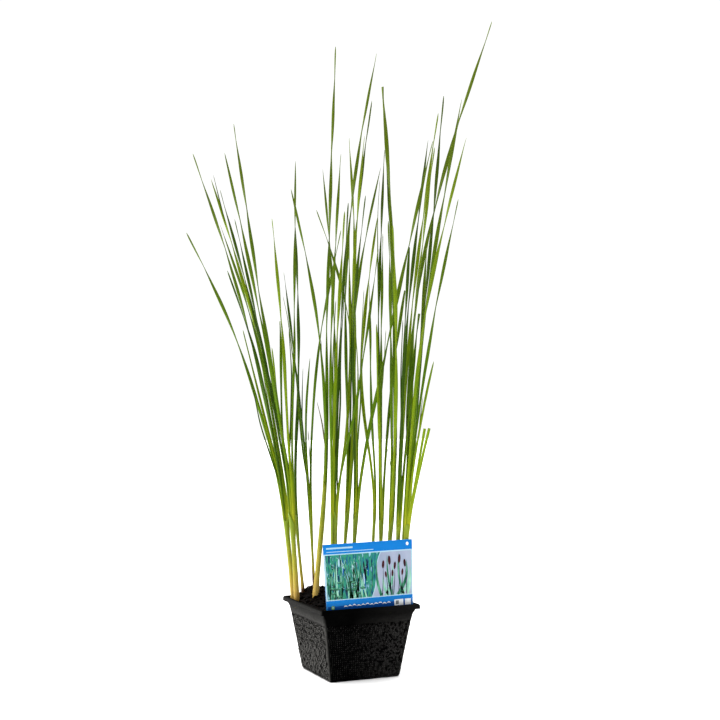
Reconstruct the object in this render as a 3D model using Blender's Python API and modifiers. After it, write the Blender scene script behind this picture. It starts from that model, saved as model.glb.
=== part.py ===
# Potted narrowleaf cattail: a square net basket of soil with a plant label, and
# fourteen shoots of long twisted leaves growing out of it.
# Units are metres, +Z is up, the origin is the middle of the basket's underside,
# and the label stands along the basket's front, at -Y.
import math

import bmesh
import bpy
import numpy as np
from mathutils import Vector

MM = 0.001
GAP = 0.3 * MM

# Basket
RIM_HALF = 57.8 * MM
RIM_HEIGHT = 77.5 * MM
SKIRT_DROP = 5.0 * MM
LIP_ROUND = 2.2 * MM
BODY_TOP_HALF = 52.8 * MM
SHOULDER_HALF = 51.6 * MM
SHOULDER_HEIGHT = 66.0 * MM
FOOT_HALF = 41.2 * MM
FOOT_EDGE = 1.6 * MM
CORNER_RADIUS = 3.5 * MM
CORNER_STEPS = 3
BASKET_WALL = 1.3 * MM
DRAIN_LENGTH = 22.0 * MM
DRAIN_WIDTH = 2.4 * MM
DRAIN_PITCH = 13.0 * MM
DRAINS_EACH_SIDE = 2

# Soil
SOIL_BOTTOM = BASKET_WALL + GAP
SOIL_CORNER = 6.0 * MM
SOIL_EDGE_HEIGHT = 74.8 * MM
MOUND_RISE = 13.0 * MM
MOUND_PEAK = (-12 * MM, 22 * MM)
MOUND_SPREAD = 24 * MM
CRUMB_RISE = 0.9 * MM
SOIL_CELLS = 18

# Label
LABEL_LEFT = -51.5 * MM
LABEL_RIGHT = 53.0 * MM
LABEL_BOTTOM = 76.4 * MM
LABEL_TOP = 148.7 * MM
LABEL_PLANE = -48.0 * MM
LABEL_THICKNESS = 0.7 * MM
LABEL_CORNER = 0.8 * MM
STAKE_HALF_WIDTH = 6.0 * MM
STAKE_POINT = 57.0 * MM
STAKE_TAPER = 8.0 * MM

# The leaves are placed on an upright board through the middle of the basket, as
# sighted from an eye in front of its left corner. A place on the board is given
# across and up, and away says how far behind the board the leaf really is.
EYE_DISTANCE = 1320 * MM
EYE_HEIGHT = 310 * MM
BASKET_TURN = math.radians(23.75)
ACROSS = Vector((math.cos(BASKET_TURN), -math.sin(BASKET_TURN), 0))
AWAY = Vector((math.sin(BASKET_TURN), math.cos(BASKET_TURN), 0))

# Leaves
FOOT_DEPTH = 10 * MM
SHEATH_RISE = 84 * MM
SLICE_PITCH = 1.15 * MM
KEEL_SHARE = 0.24
BASE_SHARE = 0.9
POINT_SHARE = 0.32
CUT_SHARE = 0.78
TAPER_FROM = 0.72
STATION_SPACING = 23 * MM
CLEARANCE = 5.0 * MM
PARTING_HEIGHT = 130 * MM
SIBLING_CLIMB = 110 * MM
EASE_PASSES = 2
EASE_ROUNDS = 120
EASE_STEP = 12 * MM
TWIST_GATHERS = 1.35
MOST_TWIST = math.radians(1.7) / MM


def leaf(mid, tip, width, turn, cut=False, tone="green"):
    """A leaf by its middle and tip, each across, up and away in millimetres."""
    return {
        "mid": [value * MM for value in mid],
        "tip": [value * MM for value in tip],
        "width": width * MM,
        "turn": math.radians(turn),
        "cut": cut,
        "tone": tone,
    }


# Each shoot: foot on the soil (x, y in mm), lean across and away per unit of
# height, turn of its fan from the board in degrees, and its leaves.
SHOOTS = {
    "a": {"foot": (-45.8, 43.0), "lean": (-0.10, 0.03), "fan": 8, "leaves": [
        leaf((-117, 346, 45), (-180, 484, 80), 4.0, 520),
        leaf((-97, 326, 5), (-135, 441, -15), 3.5, 430),
        leaf((-114, 386, 75), (-173, 572, 150), 3.8, 610),
        leaf((-109, 389, -5), (-143, 491, -35), 3.4, 520),
        leaf((-107, 389, 30), (-153, 543, 45), 4.0, 640),
    ]},
    "b": {"foot": (-46.2, 29.5), "lean": (-0.06, 0.02), "fan": -12, "leaves": [
        leaf((-103, 411, -20), (-138, 570, -55), 4.0, 600),
        leaf((-99, 412, 45), (-128, 604, 95), 4.2, 700),
        leaf((-100, 376, 15), (-127, 498, 20), 3.5, 560),
        leaf((-73, 299, 28), (-77, 386, 40), 3.3, 200, cut=True),
        leaf((-74, 370, -10), (-86, 498, -35), 4.0, 540),
        leaf((-61, 370, 10), (-60, 562, 5), 3.4, 620),
    ]},
    "c": {"foot": (-36.5, 43.5), "lean": (-0.10, 0.02), "fan": 20, "leaves": [
        leaf((-111, 413, 60), (-143, 531, 75), 3.7, 560),
        leaf((-74, 266, 72), (-86, 358, 92), 3.4, 380),
        leaf((-56, 326, 60), (-60, 490, 90), 4.1, 560),
    ]},
    "d": {"foot": (-26.0, 40.0), "lean": (-0.055, 0.03), "fan": -15, "leaves": [
        leaf((-57, 310, 80), (-73, 441, 120), 3.3, 480),
        leaf((-49, 271, 35), (-44, 346, 30), 3.1, 260),
        leaf((-37, 334, 55), (-10, 487, 95), 3.5, 520),
    ]},
    "e": {"foot": (-33.0, 19.5), "lean": (0.09, 0.0), "fan": 10, "leaves": [
        leaf((-31, 343, -20), (-65, 530, -60), 3.8, 610),
        leaf((-25, 409, 10), (-16, 688, 20), 4.0, 800),
    ]},
    "f": {"foot": (-17.8, 3.4), "lean": (0.0, 0.0), "fan": 6, "leaves": [
        leaf((-21, 354, -35), (-10, 569, -60), 3.8, 640),
        leaf((-17, 376, 30), (-30, 554, 65), 3.5, 600),
        leaf((-13, 387, -15), (-6, 506, -25), 4.1, 520, tone="young"),
        leaf((-10, 376, 5), (-2, 516, 0), 3.5, 540),
        leaf((-3, 277, 20), (-2, 480, 40), 3.5, 420, cut=True),
        leaf((8, 302, -5), (31, 465, 10), 3.3, 480),
    ]},
    "g": {"foot": (3.8, 31.2), "lean": (0.064, 0.02), "fan": -8, "leaves": [
        leaf((-2, 392, 60), (-37, 509, 85), 3.4, 560),
        leaf((0, 502, 30), (29, 681, 55), 4.0, 760),
        leaf((5, 464, 45), (-1, 588, 60), 3.7, 600, tone="young"),
        leaf((8, 502, 75), (24, 630, 120), 3.4, 700),
    ]},
    "h": {"foot": (5.1, 6.5), "lean": (0.042, 0.0), "fan": 12, "leaves": [
        leaf((6, 420, -30), (17, 523, -55), 3.3, 520),
        leaf((6, 475, 0), (16, 589, -10), 4.0, 620, tone="young"),
        leaf((9, 429, 15), (34, 556, 40), 3.5, 600),
        leaf((42, 363, -15), (91, 583, -45), 4.4, 560),
    ]},
    "i": {"foot": (37.5, 25.1), "lean": (0.05, 0.02), "fan": 0, "leaves": [
        leaf((13, 332, 45), (30, 500, 55), 4.0, 560),
        leaf((24, 299, 65), (21, 428, 95), 3.4, 400),
    ]},
    "j": {"foot": (37.4, 1.0), "lean": (0.005, 0.0), "fan": -6, "leaves": [
        leaf((32, 266, -15), (29, 382, -30), 3.4, 300, tone="young"),
        leaf((32, 420, 25), (38, 575, 45), 3.8, 620),
        leaf((34, 321, 5), (36, 482, 5), 3.5, 460),
        leaf((46, 316, 30), (60, 420, 50), 3.7, 340, cut=True),
    ]},
    "k": {"foot": (36.0, -16.0), "lean": (0.06, 0.0), "fan": 5, "leaves": [
        leaf((45, 354, -25), (42, 495, -50), 3.8, 460),
        leaf((47, 442, -5), (36, 643, -15), 4.7, 560, cut=True),
        leaf((46, 453, 15), (39, 581, 30), 4.0, 600),
        leaf((51, 332, -45), (47, 490, -75), 4.2, 420),
    ]},
    "l": {"foot": (38.0, -36.0), "lean": (0.035, 0.0), "fan": -10, "leaves": [
        leaf((60, 365, -38), (65, 466, -60), 3.5, 360, cut=True),
        leaf((64, 396, -16), (86, 585, -15), 4.0, 580),
        leaf((66, 299, -2), (76, 394, 5), 3.7, 260, cut=True),
        leaf((71, 425, 20), (97, 615, 45), 4.0, 680),
    ]},
    "m": {"foot": (44.6, -24.0), "lean": (0.09, 0.0), "fan": 10, "leaves": [
        leaf((73, 409, 50), (93, 578, 85), 3.8, 600, tone="young"),
        leaf((78, 440, 32), (156, 716, 45), 4.5, 760),
        leaf((78, 370, 8), (84, 466, -5), 3.7, 360, cut=True),
        leaf((84, 420, -8), (103, 633, -30), 4.0, 680),
        leaf((88, 431, -24), (123, 629, -60), 4.4, 540),
    ]},
    "n": {"foot": (44.0, -41.0), "lean": (0.055, -0.02), "fan": -4, "leaves": [
        leaf((72, 211, -38), (82, 267, -40), 3.3, 60, cut=True),
        leaf((75, 216, -48), (87, 267, -56), 3.3, 60, cut=True),
        leaf((79, 282, -28), (92, 341, -30), 3.3, 260),
        leaf((86, 409, -58), (128, 586, -95), 4.0, 600),
        leaf((91, 381, -36), (119, 519, -50), 3.7, 520),
    ]},
}

# Colour, roughness
TONES = {
    "green": ((0.075, 0.165, 0.012), 0.42),
    "young": ((0.22, 0.36, 0.02), 0.42),
    "basket": ((0.012, 0.012, 0.011), 0.5),
    "soil": ((0.022, 0.013, 0.008), 0.95),
    "label": ((0.02, 0.22, 0.66), 0.3),
}


def clear_scene():
    for thing in list(bpy.data.objects):
        bpy.data.objects.remove(thing, do_unlink=True)


def new_collection(name):
    group = bpy.data.collections.new(name)
    bpy.context.scene.collection.children.link(group)
    return group


def make_material(name):
    colour, roughness = TONES[name]
    material = bpy.data.materials.new(name)
    material.use_nodes = True
    shader = material.node_tree.nodes["Principled BSDF"]
    shader.inputs["Base Color"].default_value = (*colour, 1)
    shader.inputs["Roughness"].default_value = roughness
    shader.inputs["Metallic"].default_value = 0
    return material


def mesh_object(name, bm, group):
    mesh = bpy.data.meshes.new(name)
    bm.to_mesh(mesh)
    bm.free()
    thing = bpy.data.objects.new(name, mesh)
    group.objects.link(thing)
    return thing


def hide_guide(thing):
    thing.hide_render = True
    thing.display_type = "WIRE"


def box_cutter(name, centre, size, turn, group):
    bm = bmesh.new()
    bmesh.ops.create_cube(bm, size=1)
    bmesh.ops.scale(bm, vec=size, verts=bm.verts)
    cutter = mesh_object(name, bm, group)
    cutter.location = centre
    cutter.rotation_euler.z = turn
    hide_guide(cutter)
    return cutter


def cut(thing, cutter):
    boolean = thing.modifiers.new("cut " + cutter.name, "BOOLEAN")
    boolean.operation = "DIFFERENCE"
    boolean.solver = "EXACT"
    boolean.object = cutter


def basket_half(height):
    """Half the basket's outer width at a height up to its shoulder."""
    share = height / SHOULDER_HEIGHT
    return FOOT_HALF + (SHOULDER_HALF - FOOT_HALF) * share


def raise_rim(bm, half, height):
    """Draw the open top edge out to a new half width and height."""
    rim = [edge for edge in bm.edges if edge.is_boundary]
    grown = bmesh.ops.extrude_edge_only(bm, edges=rim)["geom"]
    ring = [item for item in grown if isinstance(item, bmesh.types.BMVert)]
    now = max(vert.co.x for vert in ring)
    for vert in ring:
        vert.co.x *= half / now
        vert.co.y *= half / now
        vert.co.z = height


def make_basket(group, cutters):
    bm = bmesh.new()
    bmesh.ops.create_cube(bm, size=1)
    side = 2 * FOOT_HALF
    bmesh.ops.scale(bm, vec=(side, side, FOOT_EDGE * 2), verts=bm.verts)
    bmesh.ops.translate(bm, vec=(0, 0, FOOT_EDGE), verts=bm.verts)
    top = [face for face in bm.faces if face.normal.z > 0.9]
    bmesh.ops.delete(bm, geom=top, context="FACES_ONLY")
    uprights = [edge for edge in bm.edges if abs(edge.verts[0].co.z - edge.verts[1].co.z) > FOOT_EDGE]
    bmesh.ops.bevel(bm, geom=uprights, offset=CORNER_RADIUS, segments=CORNER_STEPS, profile=0.5,
                    affect="EDGES")
    under = [edge for edge in bm.edges if max(vert.co.z for vert in edge.verts) < FOOT_EDGE]
    bmesh.ops.bevel(bm, geom=under, offset=FOOT_EDGE, segments=2, profile=0.5, affect="EDGES")
    lip_half = RIM_HALF - BASKET_WALL
    lip_height = RIM_HEIGHT - BASKET_WALL
    raise_rim(bm, SHOULDER_HALF, SHOULDER_HEIGHT)
    raise_rim(bm, BODY_TOP_HALF, lip_height - LIP_ROUND)
    raise_rim(bm, BODY_TOP_HALF + LIP_ROUND * 0.6, lip_height)
    raise_rim(bm, lip_half - LIP_ROUND * 0.3, lip_height)
    raise_rim(bm, lip_half, lip_height - LIP_ROUND * 0.4)
    raise_rim(bm, lip_half, RIM_HEIGHT - SKIRT_DROP)
    basket = mesh_object("basket", bm, group)
    wall = basket.modifiers.new("wall", "SOLIDIFY")
    wall.thickness = BASKET_WALL
    wall.offset = -1
    wall.use_even_offset = True
    for step in range(-DRAINS_EACH_SIDE, DRAINS_EACH_SIDE + 1):
        for front in (-1, 1):
            place = (step * DRAIN_PITCH, front * (DRAIN_LENGTH / 2 + 6 * MM), 0)
            size = (DRAIN_WIDTH, DRAIN_LENGTH, 6 * MM)
            cut(basket, box_cutter(f"drain {step} {front}", place, size, 0, cutters))
    basket.data.materials.append(make_material("basket"))
    return basket


def soil_height(x, y):
    """Height of the soil: low at the basket's walls, mounded towards the back left."""
    away = (x - MOUND_PEAK[0]) ** 2 + (y - MOUND_PEAK[1]) ** 2
    mound = MOUND_RISE * math.exp(-away / (2 * MOUND_SPREAD ** 2))
    crumbs = math.sin(x * 410 + 1.3) * math.cos(y * 370) + 0.6 * math.sin(x * 790 - y * 610)
    return SOIL_EDGE_HEIGHT + mound + CRUMB_RISE * 0.5 * crumbs


def rounded(u, v, half, radius):
    """Carry a point of the square -1..1 onto a square with rounded corners."""
    reach = max(abs(u), abs(v))
    if reach == 0:
        return 0.0, 0.0
    corner = (half - radius) / half
    x, y = u / reach, v / reach
    inner_x = max(-corner, min(corner, x))
    inner_y = max(-corner, min(corner, y))
    out = Vector((x - inner_x, y - inner_y))
    if out.length > 0:
        out = out.normalized() * (1 - corner)
    return (inner_x + out.x) * reach * half, (inner_y + out.y) * reach * half


def make_soil(group, cutters):
    bm = bmesh.new()
    bmesh.ops.create_grid(bm, x_segments=SOIL_CELLS, y_segments=SOIL_CELLS, size=1)
    top_half = basket_half(SHOULDER_HEIGHT) - BASKET_WALL - GAP
    for vert in bm.verts:
        x, y = rounded(vert.co.x, vert.co.y, top_half, SOIL_CORNER)
        vert.co = (x, y, soil_height(x, y))
    rim = [edge for edge in bm.edges if edge.is_boundary]
    grown = bmesh.ops.extrude_edge_only(bm, edges=rim)["geom"]
    ring = [item for item in grown if isinstance(item, bmesh.types.BMVert)]
    bottom_half = basket_half(SOIL_BOTTOM) - BASKET_WALL - GAP - 1.2 * MM
    for vert in ring:
        vert.co.x *= bottom_half / top_half
        vert.co.y *= bottom_half / top_half
        vert.co.z = SOIL_BOTTOM
    bottom = [edge for edge in bm.edges if edge.is_boundary]
    bmesh.ops.contextual_create(bm, geom=bottom)
    bmesh.ops.recalc_face_normals(bm, faces=bm.faces)
    bmesh.ops.triangulate(bm, faces=bm.faces)
    soil = mesh_object("soil", bm, group)
    notch_size = (2 * (STAKE_HALF_WIDTH + GAP), 8 * MM, 60 * MM)
    notch_back = LABEL_PLANE + LABEL_THICKNESS / 2 + GAP
    notch_foot = STAKE_POINT - GAP
    notch_place = (0, notch_back - notch_size[1] / 2, notch_foot + notch_size[2] / 2)
    cut(soil, box_cutter("stake notch", notch_place, notch_size, 0, cutters))
    soil.data.materials.append(make_material("soil"))
    return soil


def rounded_corner(centre, start, radius, steps):
    """Points of a quarter turn, clockwise from a start angle in degrees."""
    points = []
    for step in range(steps + 1):
        angle = math.radians(start - 90 * step / steps)
        points.append((centre[0] + radius * math.cos(angle), centre[1] + radius * math.sin(angle)))
    return points


def make_label(group):
    near = LABEL_CORNER
    outline = []
    outline += rounded_corner((LABEL_LEFT + near, LABEL_TOP - near), 180, near, 3)
    outline += rounded_corner((LABEL_RIGHT - near, LABEL_TOP - near), 90, near, 3)
    outline += rounded_corner((LABEL_RIGHT - near, LABEL_BOTTOM + near), 0, near, 3)
    outline.append((STAKE_HALF_WIDTH, LABEL_BOTTOM))
    outline.append((STAKE_HALF_WIDTH, STAKE_POINT + STAKE_TAPER))
    outline.append((STAKE_HALF_WIDTH * 0.3, STAKE_POINT))
    outline.append((-STAKE_HALF_WIDTH * 0.3, STAKE_POINT))
    outline.append((-STAKE_HALF_WIDTH, STAKE_POINT + STAKE_TAPER))
    outline.append((-STAKE_HALF_WIDTH, LABEL_BOTTOM))
    outline += rounded_corner((LABEL_LEFT + near, LABEL_BOTTOM + near), 270, near, 3)
    curve = bpy.data.curves.new("label", "CURVE")
    curve.dimensions = "2D"
    curve.fill_mode = "BOTH"
    curve.extrude = LABEL_THICKNESS / 2
    spline = curve.splines.new("POLY")
    spline.points.add(len(outline) - 1)
    for point, (x, z) in zip(spline.points, outline):
        point.co = (x, z, 0, 1)
    spline.use_cyclic_u = True
    curve.materials.append(make_material("label"))
    label = bpy.data.objects.new("label", curve)
    label.rotation_euler.x = math.pi / 2
    label.location.y = LABEL_PLANE
    group.objects.link(label)
    return label


def sighted(across, up, away):
    """The real place of a point seen at a place on the board, this far behind it."""
    reach = (EYE_DISTANCE + away) / EYE_DISTANCE
    place = ACROSS * (across * reach) + AWAY * away
    place.z = EYE_HEIGHT + (up - EYE_HEIGHT) * reach
    return place


def smooth_span(start, end, leave, arrive, steps):
    """Points of a smooth curve between two places, without the first one."""
    chord = (end - start).length
    points = []
    for step in range(1, steps + 1):
        t = step / steps
        points.append(
            start * (2 * t ** 3 - 3 * t ** 2 + 1) + leave * (chord * (t ** 3 - 2 * t ** 2 + t))
            + end * (3 * t ** 2 - 2 * t ** 3) + arrive * (chord * (t ** 3 - t ** 2))
        )
    return points


def leaf_path(blade, spacing):
    """The middle line of a leaf, from its foot in the soil to its tip."""
    mid = sighted(*blade["mid"])
    tip = sighted(*blade["tip"])
    neck = blade["neck"]
    collar = neck + blade["lean"] * SHEATH_RISE
    lower = (mid - collar).length
    upper = (tip - mid).length
    through = ((mid - collar) / lower * upper + (tip - mid) / upper * lower) / (lower + upper)
    finish = (tip - mid) / upper * 1.5 - through * 0.5
    lower_steps = max(3, round(lower / spacing))
    upper_steps = max(3, round(upper / spacing))
    path = [blade["foot"], neck, (neck + collar) / 2, collar]
    path += smooth_span(collar, mid, blade["lean"], through, lower_steps)
    path += smooth_span(mid, tip, through, finish, upper_steps)
    return path


def at_heights(blade, heights):
    """Where the leaf's middle line passes each height, and nothing above its tip."""
    path = np.array([tuple(point) for point in leaf_path(blade, EASE_STEP)])
    x = np.interp(heights, path[:, 2], path[:, 0])
    y = np.interp(heights, path[:, 2], path[:, 1])
    above = heights > path[-1, 2] + CLEARANCE / 2
    x[above] = np.nan
    return np.stack([x, y], axis=1)


def plant_shoots():
    """Set each shoot's leaves on its foot, and return all the leaves in a row."""
    blades = []
    for name, shoot in SHOOTS.items():
        x, y = shoot["foot"][0] * MM, shoot["foot"][1] * MM
        fan = math.radians(shoot["fan"])
        lean = ACROSS * shoot["lean"][0] + AWAY * shoot["lean"][1] + Vector((0, 0, 1))
        shoot["centre"] = Vector((x, y, soil_height(x, y)))
        shoot["stack"] = (ACROSS * math.cos(fan) + AWAY * math.sin(fan)).normalized()
        for blade in shoot["leaves"]:
            blade["shoot"] = name
            blade["lean"] = lean.normalized()
            blade["stack"] = shoot["stack"]
            blade["neck"] = shoot["centre"]
            blade["foot"] = shoot["centre"]
            blades.append(blade)
    return blades


def take_slices(shoot):
    """Order a shoot's leaves across its foot by the side that each one parts to."""
    centre, stack = shoot["centre"], shoot["stack"]
    parting = np.array([centre.z + PARTING_HEIGHT])

    def side(blade):
        blade["neck"] = centre
        x, y = at_heights(blade, parting)[0]
        return x * stack.x + y * stack.y

    leaves = sorted(shoot["leaves"], key=side)
    for order, blade in enumerate(leaves):
        blade["name"] = f"leaf_{blade['shoot']}{order + 1}"
        blade["neck"] = centre + stack * ((order - (len(leaves) - 1) / 2) * SLICE_PITCH)
        blade["foot"] = blade["neck"] - Vector((0, 0, FOOT_DEPTH))


def needed_clearance(one, other, heights):
    """How far apart two leaves must be: siblings part slowly, others everywhere."""
    if one["shoot"] != other["shoot"]:
        return np.full(len(heights), CLEARANCE)
    climbed = np.clip((heights - one["neck"].z - SHEATH_RISE) / SIBLING_CLIMB, 0, 1)
    return CLEARANCE * climbed


def ease_apart(blades):
    """Move leaves that would touch along the line of sight, so that each stays where it is seen."""
    heights = np.arange(SOIL_EDGE_HEIGHT + 40 * MM, EYE_HEIGHT * 2.4, EASE_STEP)
    away = np.array(AWAY[:2])
    for _ in range(EASE_ROUNDS):
        lines = [at_heights(blade, heights) for blade in blades]
        moved = False
        for blade, line in zip(blades, lines):
            ahead = LABEL_PLANE + CLEARANCE / 2 - line[:, 1]
            ahead[(heights > LABEL_TOP + CLEARANCE) | (line[:, 0] > LABEL_RIGHT + CLEARANCE / 2)] = -1
            worst = int(np.argmax(ahead))
            if ahead[worst] > 0.1 * MM:
                moved = True
                shift_away(blade, heights[worst], ahead[worst])
        for first, one in enumerate(blades):
            for second in range(first + 1, len(blades)):
                other = blades[second]
                apart = lines[first] - lines[second]
                short = needed_clearance(one, other, heights) - np.hypot(apart[:, 0], apart[:, 1])
                short = np.nan_to_num(short, nan=-1)
                worst = int(np.argmax(short))
                if short[worst] <= 0.1 * MM:
                    continue
                moved = True
                behind = 1 if apart[worst] @ away >= 0 else -1
                for blade, way in ((one, behind), (other, -behind)):
                    shift_away(blade, heights[worst], way * short[worst] * 0.5)
        if not moved:
            break


def shift_away(blade, height, amount):
    """Carry a leaf's middle and tip back by what moves it by this amount at a height."""
    low, mid, top = blade["neck"].z, blade["mid"][1], blade["tip"][1]
    if height < mid:
        mid_share, tip_share = max(0.3, (height - low) / (mid - low)), 0.3
    else:
        climbed = min(1, (height - mid) / (top - mid))
        mid_share, tip_share = 1 - climbed, max(0.3, climbed)
    total = mid_share ** 2 + tip_share ** 2
    blade["mid"][2] += amount * mid_share / total
    blade["tip"][2] += amount * tip_share / total


def twist_start(blade, blades):
    """The height above which a leaf is clear of its siblings and free to twist."""
    heights = np.arange(blade["neck"].z, blade["tip"][1], EASE_STEP)
    own = at_heights(blade, heights)
    start = blade["neck"].z + SHEATH_RISE
    for other in blades:
        if other is blade or other["shoot"] != blade["shoot"]:
            continue
        apart = own - at_heights(other, heights)
        distance = np.nan_to_num(np.hypot(apart[:, 0], apart[:, 1]), nan=1)
        touching = heights[distance < CLEARANCE * 0.93]
        if len(touching):
            start = max(start, touching[-1] + EASE_STEP)
    return start


def leaf_section(cutters):
    """The section that every leaf is swept from: a flat face with a low keel, 1 wide."""
    curve = bpy.data.curves.new("leaf section", "CURVE")
    curve.dimensions = "2D"
    spline = curve.splines.new("POLY")
    spline.points.add(2)
    corners = ((0, KEEL_SHARE / 2), (0.5, -KEEL_SHARE / 2), (-0.5, -KEEL_SHARE / 2))
    for point, (x, y) in zip(spline.points, corners):
        point.co = (x, y, 0, 1)
    spline.use_cyclic_u = True
    section = bpy.data.objects.new("leaf section", curve)
    cutters.objects.link(section)
    hide_guide(section)
    return section


def width_share(blade, along):
    """How wide the leaf is at a share of its length, 1 at its widest."""
    if along < 0.3:
        return BASE_SHARE + (1 - BASE_SHARE) * along / 0.3
    if along < TAPER_FROM:
        return 1.0
    fade = (along - TAPER_FROM) / (1 - TAPER_FROM)
    end = CUT_SHARE if blade["cut"] else POINT_SHARE
    return 1 - (1 - end) * fade ** 2


def make_leaf(blade, blades, section, materials, group):
    path = leaf_path(blade, STATION_SPACING)
    start = twist_start(blade, blades)
    top = path[-1].z
    most = MOST_TWIST * (top - start)
    turn = max(-most, min(most, blade["turn"]))
    base_turn = math.atan2(blade["stack"].y, blade["stack"].x) + math.pi / 2
    curve = bpy.data.curves.new(blade["name"], "CURVE")
    curve.dimensions = "3D"
    curve.twist_mode = "MINIMUM"
    curve.bevel_mode = "OBJECT"
    curve.bevel_object = section
    curve.use_fill_caps = True
    spline = curve.splines.new("POLY")
    spline.points.add(len(path) - 1)
    for order, (point, place) in enumerate(zip(spline.points, path)):
        free = max(0, (place.z - start) / (top - start))
        point.co = (*place, 1)
        point.radius = blade["width"] * width_share(blade, order / (len(path) - 1))
        point.tilt = base_turn + turn * free ** TWIST_GATHERS
    curve.materials.append(materials[blade["tone"]])
    thing = bpy.data.objects.new(blade["name"], curve)
    group.objects.link(thing)
    return thing


def cut_pockets(soil, cutters):
    """A pocket in the soil under each shoot, clear of its leaves."""
    for name, shoot in SHOOTS.items():
        leaves = shoot["leaves"]
        widest = max(blade["width"] for blade in leaves) * BASE_SHARE
        stack = leaves[0]["stack"]
        neck = sum((blade["neck"] for blade in leaves), Vector()) / len(leaves)
        room = 2 * GAP + 0.3 * MM
        size = (len(leaves) * SLICE_PITCH + room, widest + room, 30 * MM)
        place = neck + Vector((0, 0, size[2] / 2 - FOOT_DEPTH - GAP))
        turn = math.atan2(stack.y, stack.x)
        cut(soil, box_cutter("pocket " + name, place, size, turn, cutters))


def build():
    clear_scene()
    group = new_collection("potted narrowleaf cattail")
    cutters = new_collection("cutters")
    make_basket(group, cutters)
    soil = make_soil(group, cutters)
    make_label(group)
    blades = plant_shoots()
    for _ in range(EASE_PASSES):
        for shoot in SHOOTS.values():
            take_slices(shoot)
        ease_apart(blades)
    section = leaf_section(cutters)
    materials = {tone: make_material(tone) for tone in ("green", "young")}
    for blade in blades:
        make_leaf(blade, blades, section, materials, group)
    cut_pockets(soil, cutters)


build()
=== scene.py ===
import math
import random
from functools import partial

import bmesh
import bpy
import numpy as np
from mathutils import Matrix, Vector, noise


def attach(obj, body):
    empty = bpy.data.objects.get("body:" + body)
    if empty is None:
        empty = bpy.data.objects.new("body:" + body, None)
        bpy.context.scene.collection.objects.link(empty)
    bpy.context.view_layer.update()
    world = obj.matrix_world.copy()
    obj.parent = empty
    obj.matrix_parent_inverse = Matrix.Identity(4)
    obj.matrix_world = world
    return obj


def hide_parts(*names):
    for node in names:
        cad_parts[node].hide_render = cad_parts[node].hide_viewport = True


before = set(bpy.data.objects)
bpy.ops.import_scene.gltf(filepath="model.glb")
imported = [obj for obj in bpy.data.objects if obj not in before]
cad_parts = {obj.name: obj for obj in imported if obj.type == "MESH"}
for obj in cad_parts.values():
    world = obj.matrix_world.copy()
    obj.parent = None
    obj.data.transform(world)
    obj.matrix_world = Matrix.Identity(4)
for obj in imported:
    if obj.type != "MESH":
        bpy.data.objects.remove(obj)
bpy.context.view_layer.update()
mm = 0.001
print("frame loaded")


def clamped(value):
    return max(0.0, min(1.0, value))


def eased(share):
    # from 0 to 1 with a gentle start and end
    return share * share * (3 - 2 * share)


def srgb(hexColour):
    # an sRGB hex colour as the linear colour that Blender wants
    channels = [int(hexColour[i:i + 2], 16) / 255 for i in (1, 3, 5)]
    linear = [c / 12.92 if c <= 0.04045 else ((c + 0.055) / 1.055) ** 2.4 for c in channels]
    return (*linear, 1.0)


def grain(size):
    # the scale of a noise whose patches are this many mm across
    return 1 / (size * mm)


def setNode(tree, node, settings):
    # a setting is a value, or the socket that feeds it, and a node stands for its first output
    for name, value in settings.items():
        if isinstance(value, bpy.types.Node):
            value = value.outputs[0]
        if isinstance(value, bpy.types.NodeSocket):
            tree.links.new(value, node.inputs[name])
        elif name == "stops":
            stops = node.color_ramp.elements
            while len(stops) < len(value):
                stops.new(0.5)
            for stop, (place, colour) in zip(stops, value):
                stop.position = place
                stop.color = srgb(colour) if isinstance(colour, str) else (colour, colour, colour, 1)
        elif isinstance(name, int) or name in node.inputs:
            node.inputs[name].default_value = value
        else:
            setattr(node, name, value)


def addNode(tree, kind, settings=None):
    node = tree.nodes.new("ShaderNode" + kind)
    setNode(tree, node, settings or {})
    return node


def startMaterial(name):
    # a new material, what adds nodes to it, and the socket with the place on the object
    material = bpy.data.materials.new(name)
    material.use_nodes = True
    add = partial(addNode, material.node_tree)
    return material, add, add("TexCoord").outputs["Object"]


def finishMaterial(material, settings):
    tree = material.node_tree
    setNode(tree, tree.nodes["Principled BSDF"], settings)
    return material


def meshObject(name, bm, materials, smooth=True):
    mesh = bpy.data.meshes.new(name)
    bm.to_mesh(mesh)
    bm.free()
    thing = bpy.data.objects.new(name, mesh)
    bpy.context.scene.collection.objects.link(thing)
    for material in materials:
        mesh.materials.append(material)
    mesh.polygons.foreach_set("use_smooth", [smooth] * len(mesh.polygons))
    return thing


def applyModifiers(thing):
    graph = bpy.context.evaluated_depsgraph_get()
    mesh = bpy.data.meshes.new_from_object(thing.evaluated_get(graph))
    thing.modifiers.clear()
    thing.data = mesh


def thicken(thing, thickness, offset=-1):
    # a skin becomes a wall of this many mm: inward at offset -1, to both sides at 0
    wall = thing.modifiers.new("wall", "SOLIDIFY")
    wall.thickness = thickness * mm
    wall.offset = offset
    applyModifiers(thing)
    return thing


def joinRings(bm, lower, upper, lengths=None):
    # faces between two rings of points, unrolled in the UV map where their lengths along the piece are given
    uvLayer = bm.loops.layers.uv.verify() if lengths else None
    count = len(lower)
    faces = []
    for k in range(count):
        n = (k + 1) % count
        face = bm.faces.new((lower[k], lower[n], upper[n], upper[k]))
        faces.append(face)
        for loop, (s, end) in zip(face.loops, ((k, 0), (k + 1, 0), (k + 1, 1), (k, 1))):
            if lengths:
                loop[uvLayer].uv = (s / count, lengths[end])
    return faces


# camera, in the place from which the photo was taken

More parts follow.
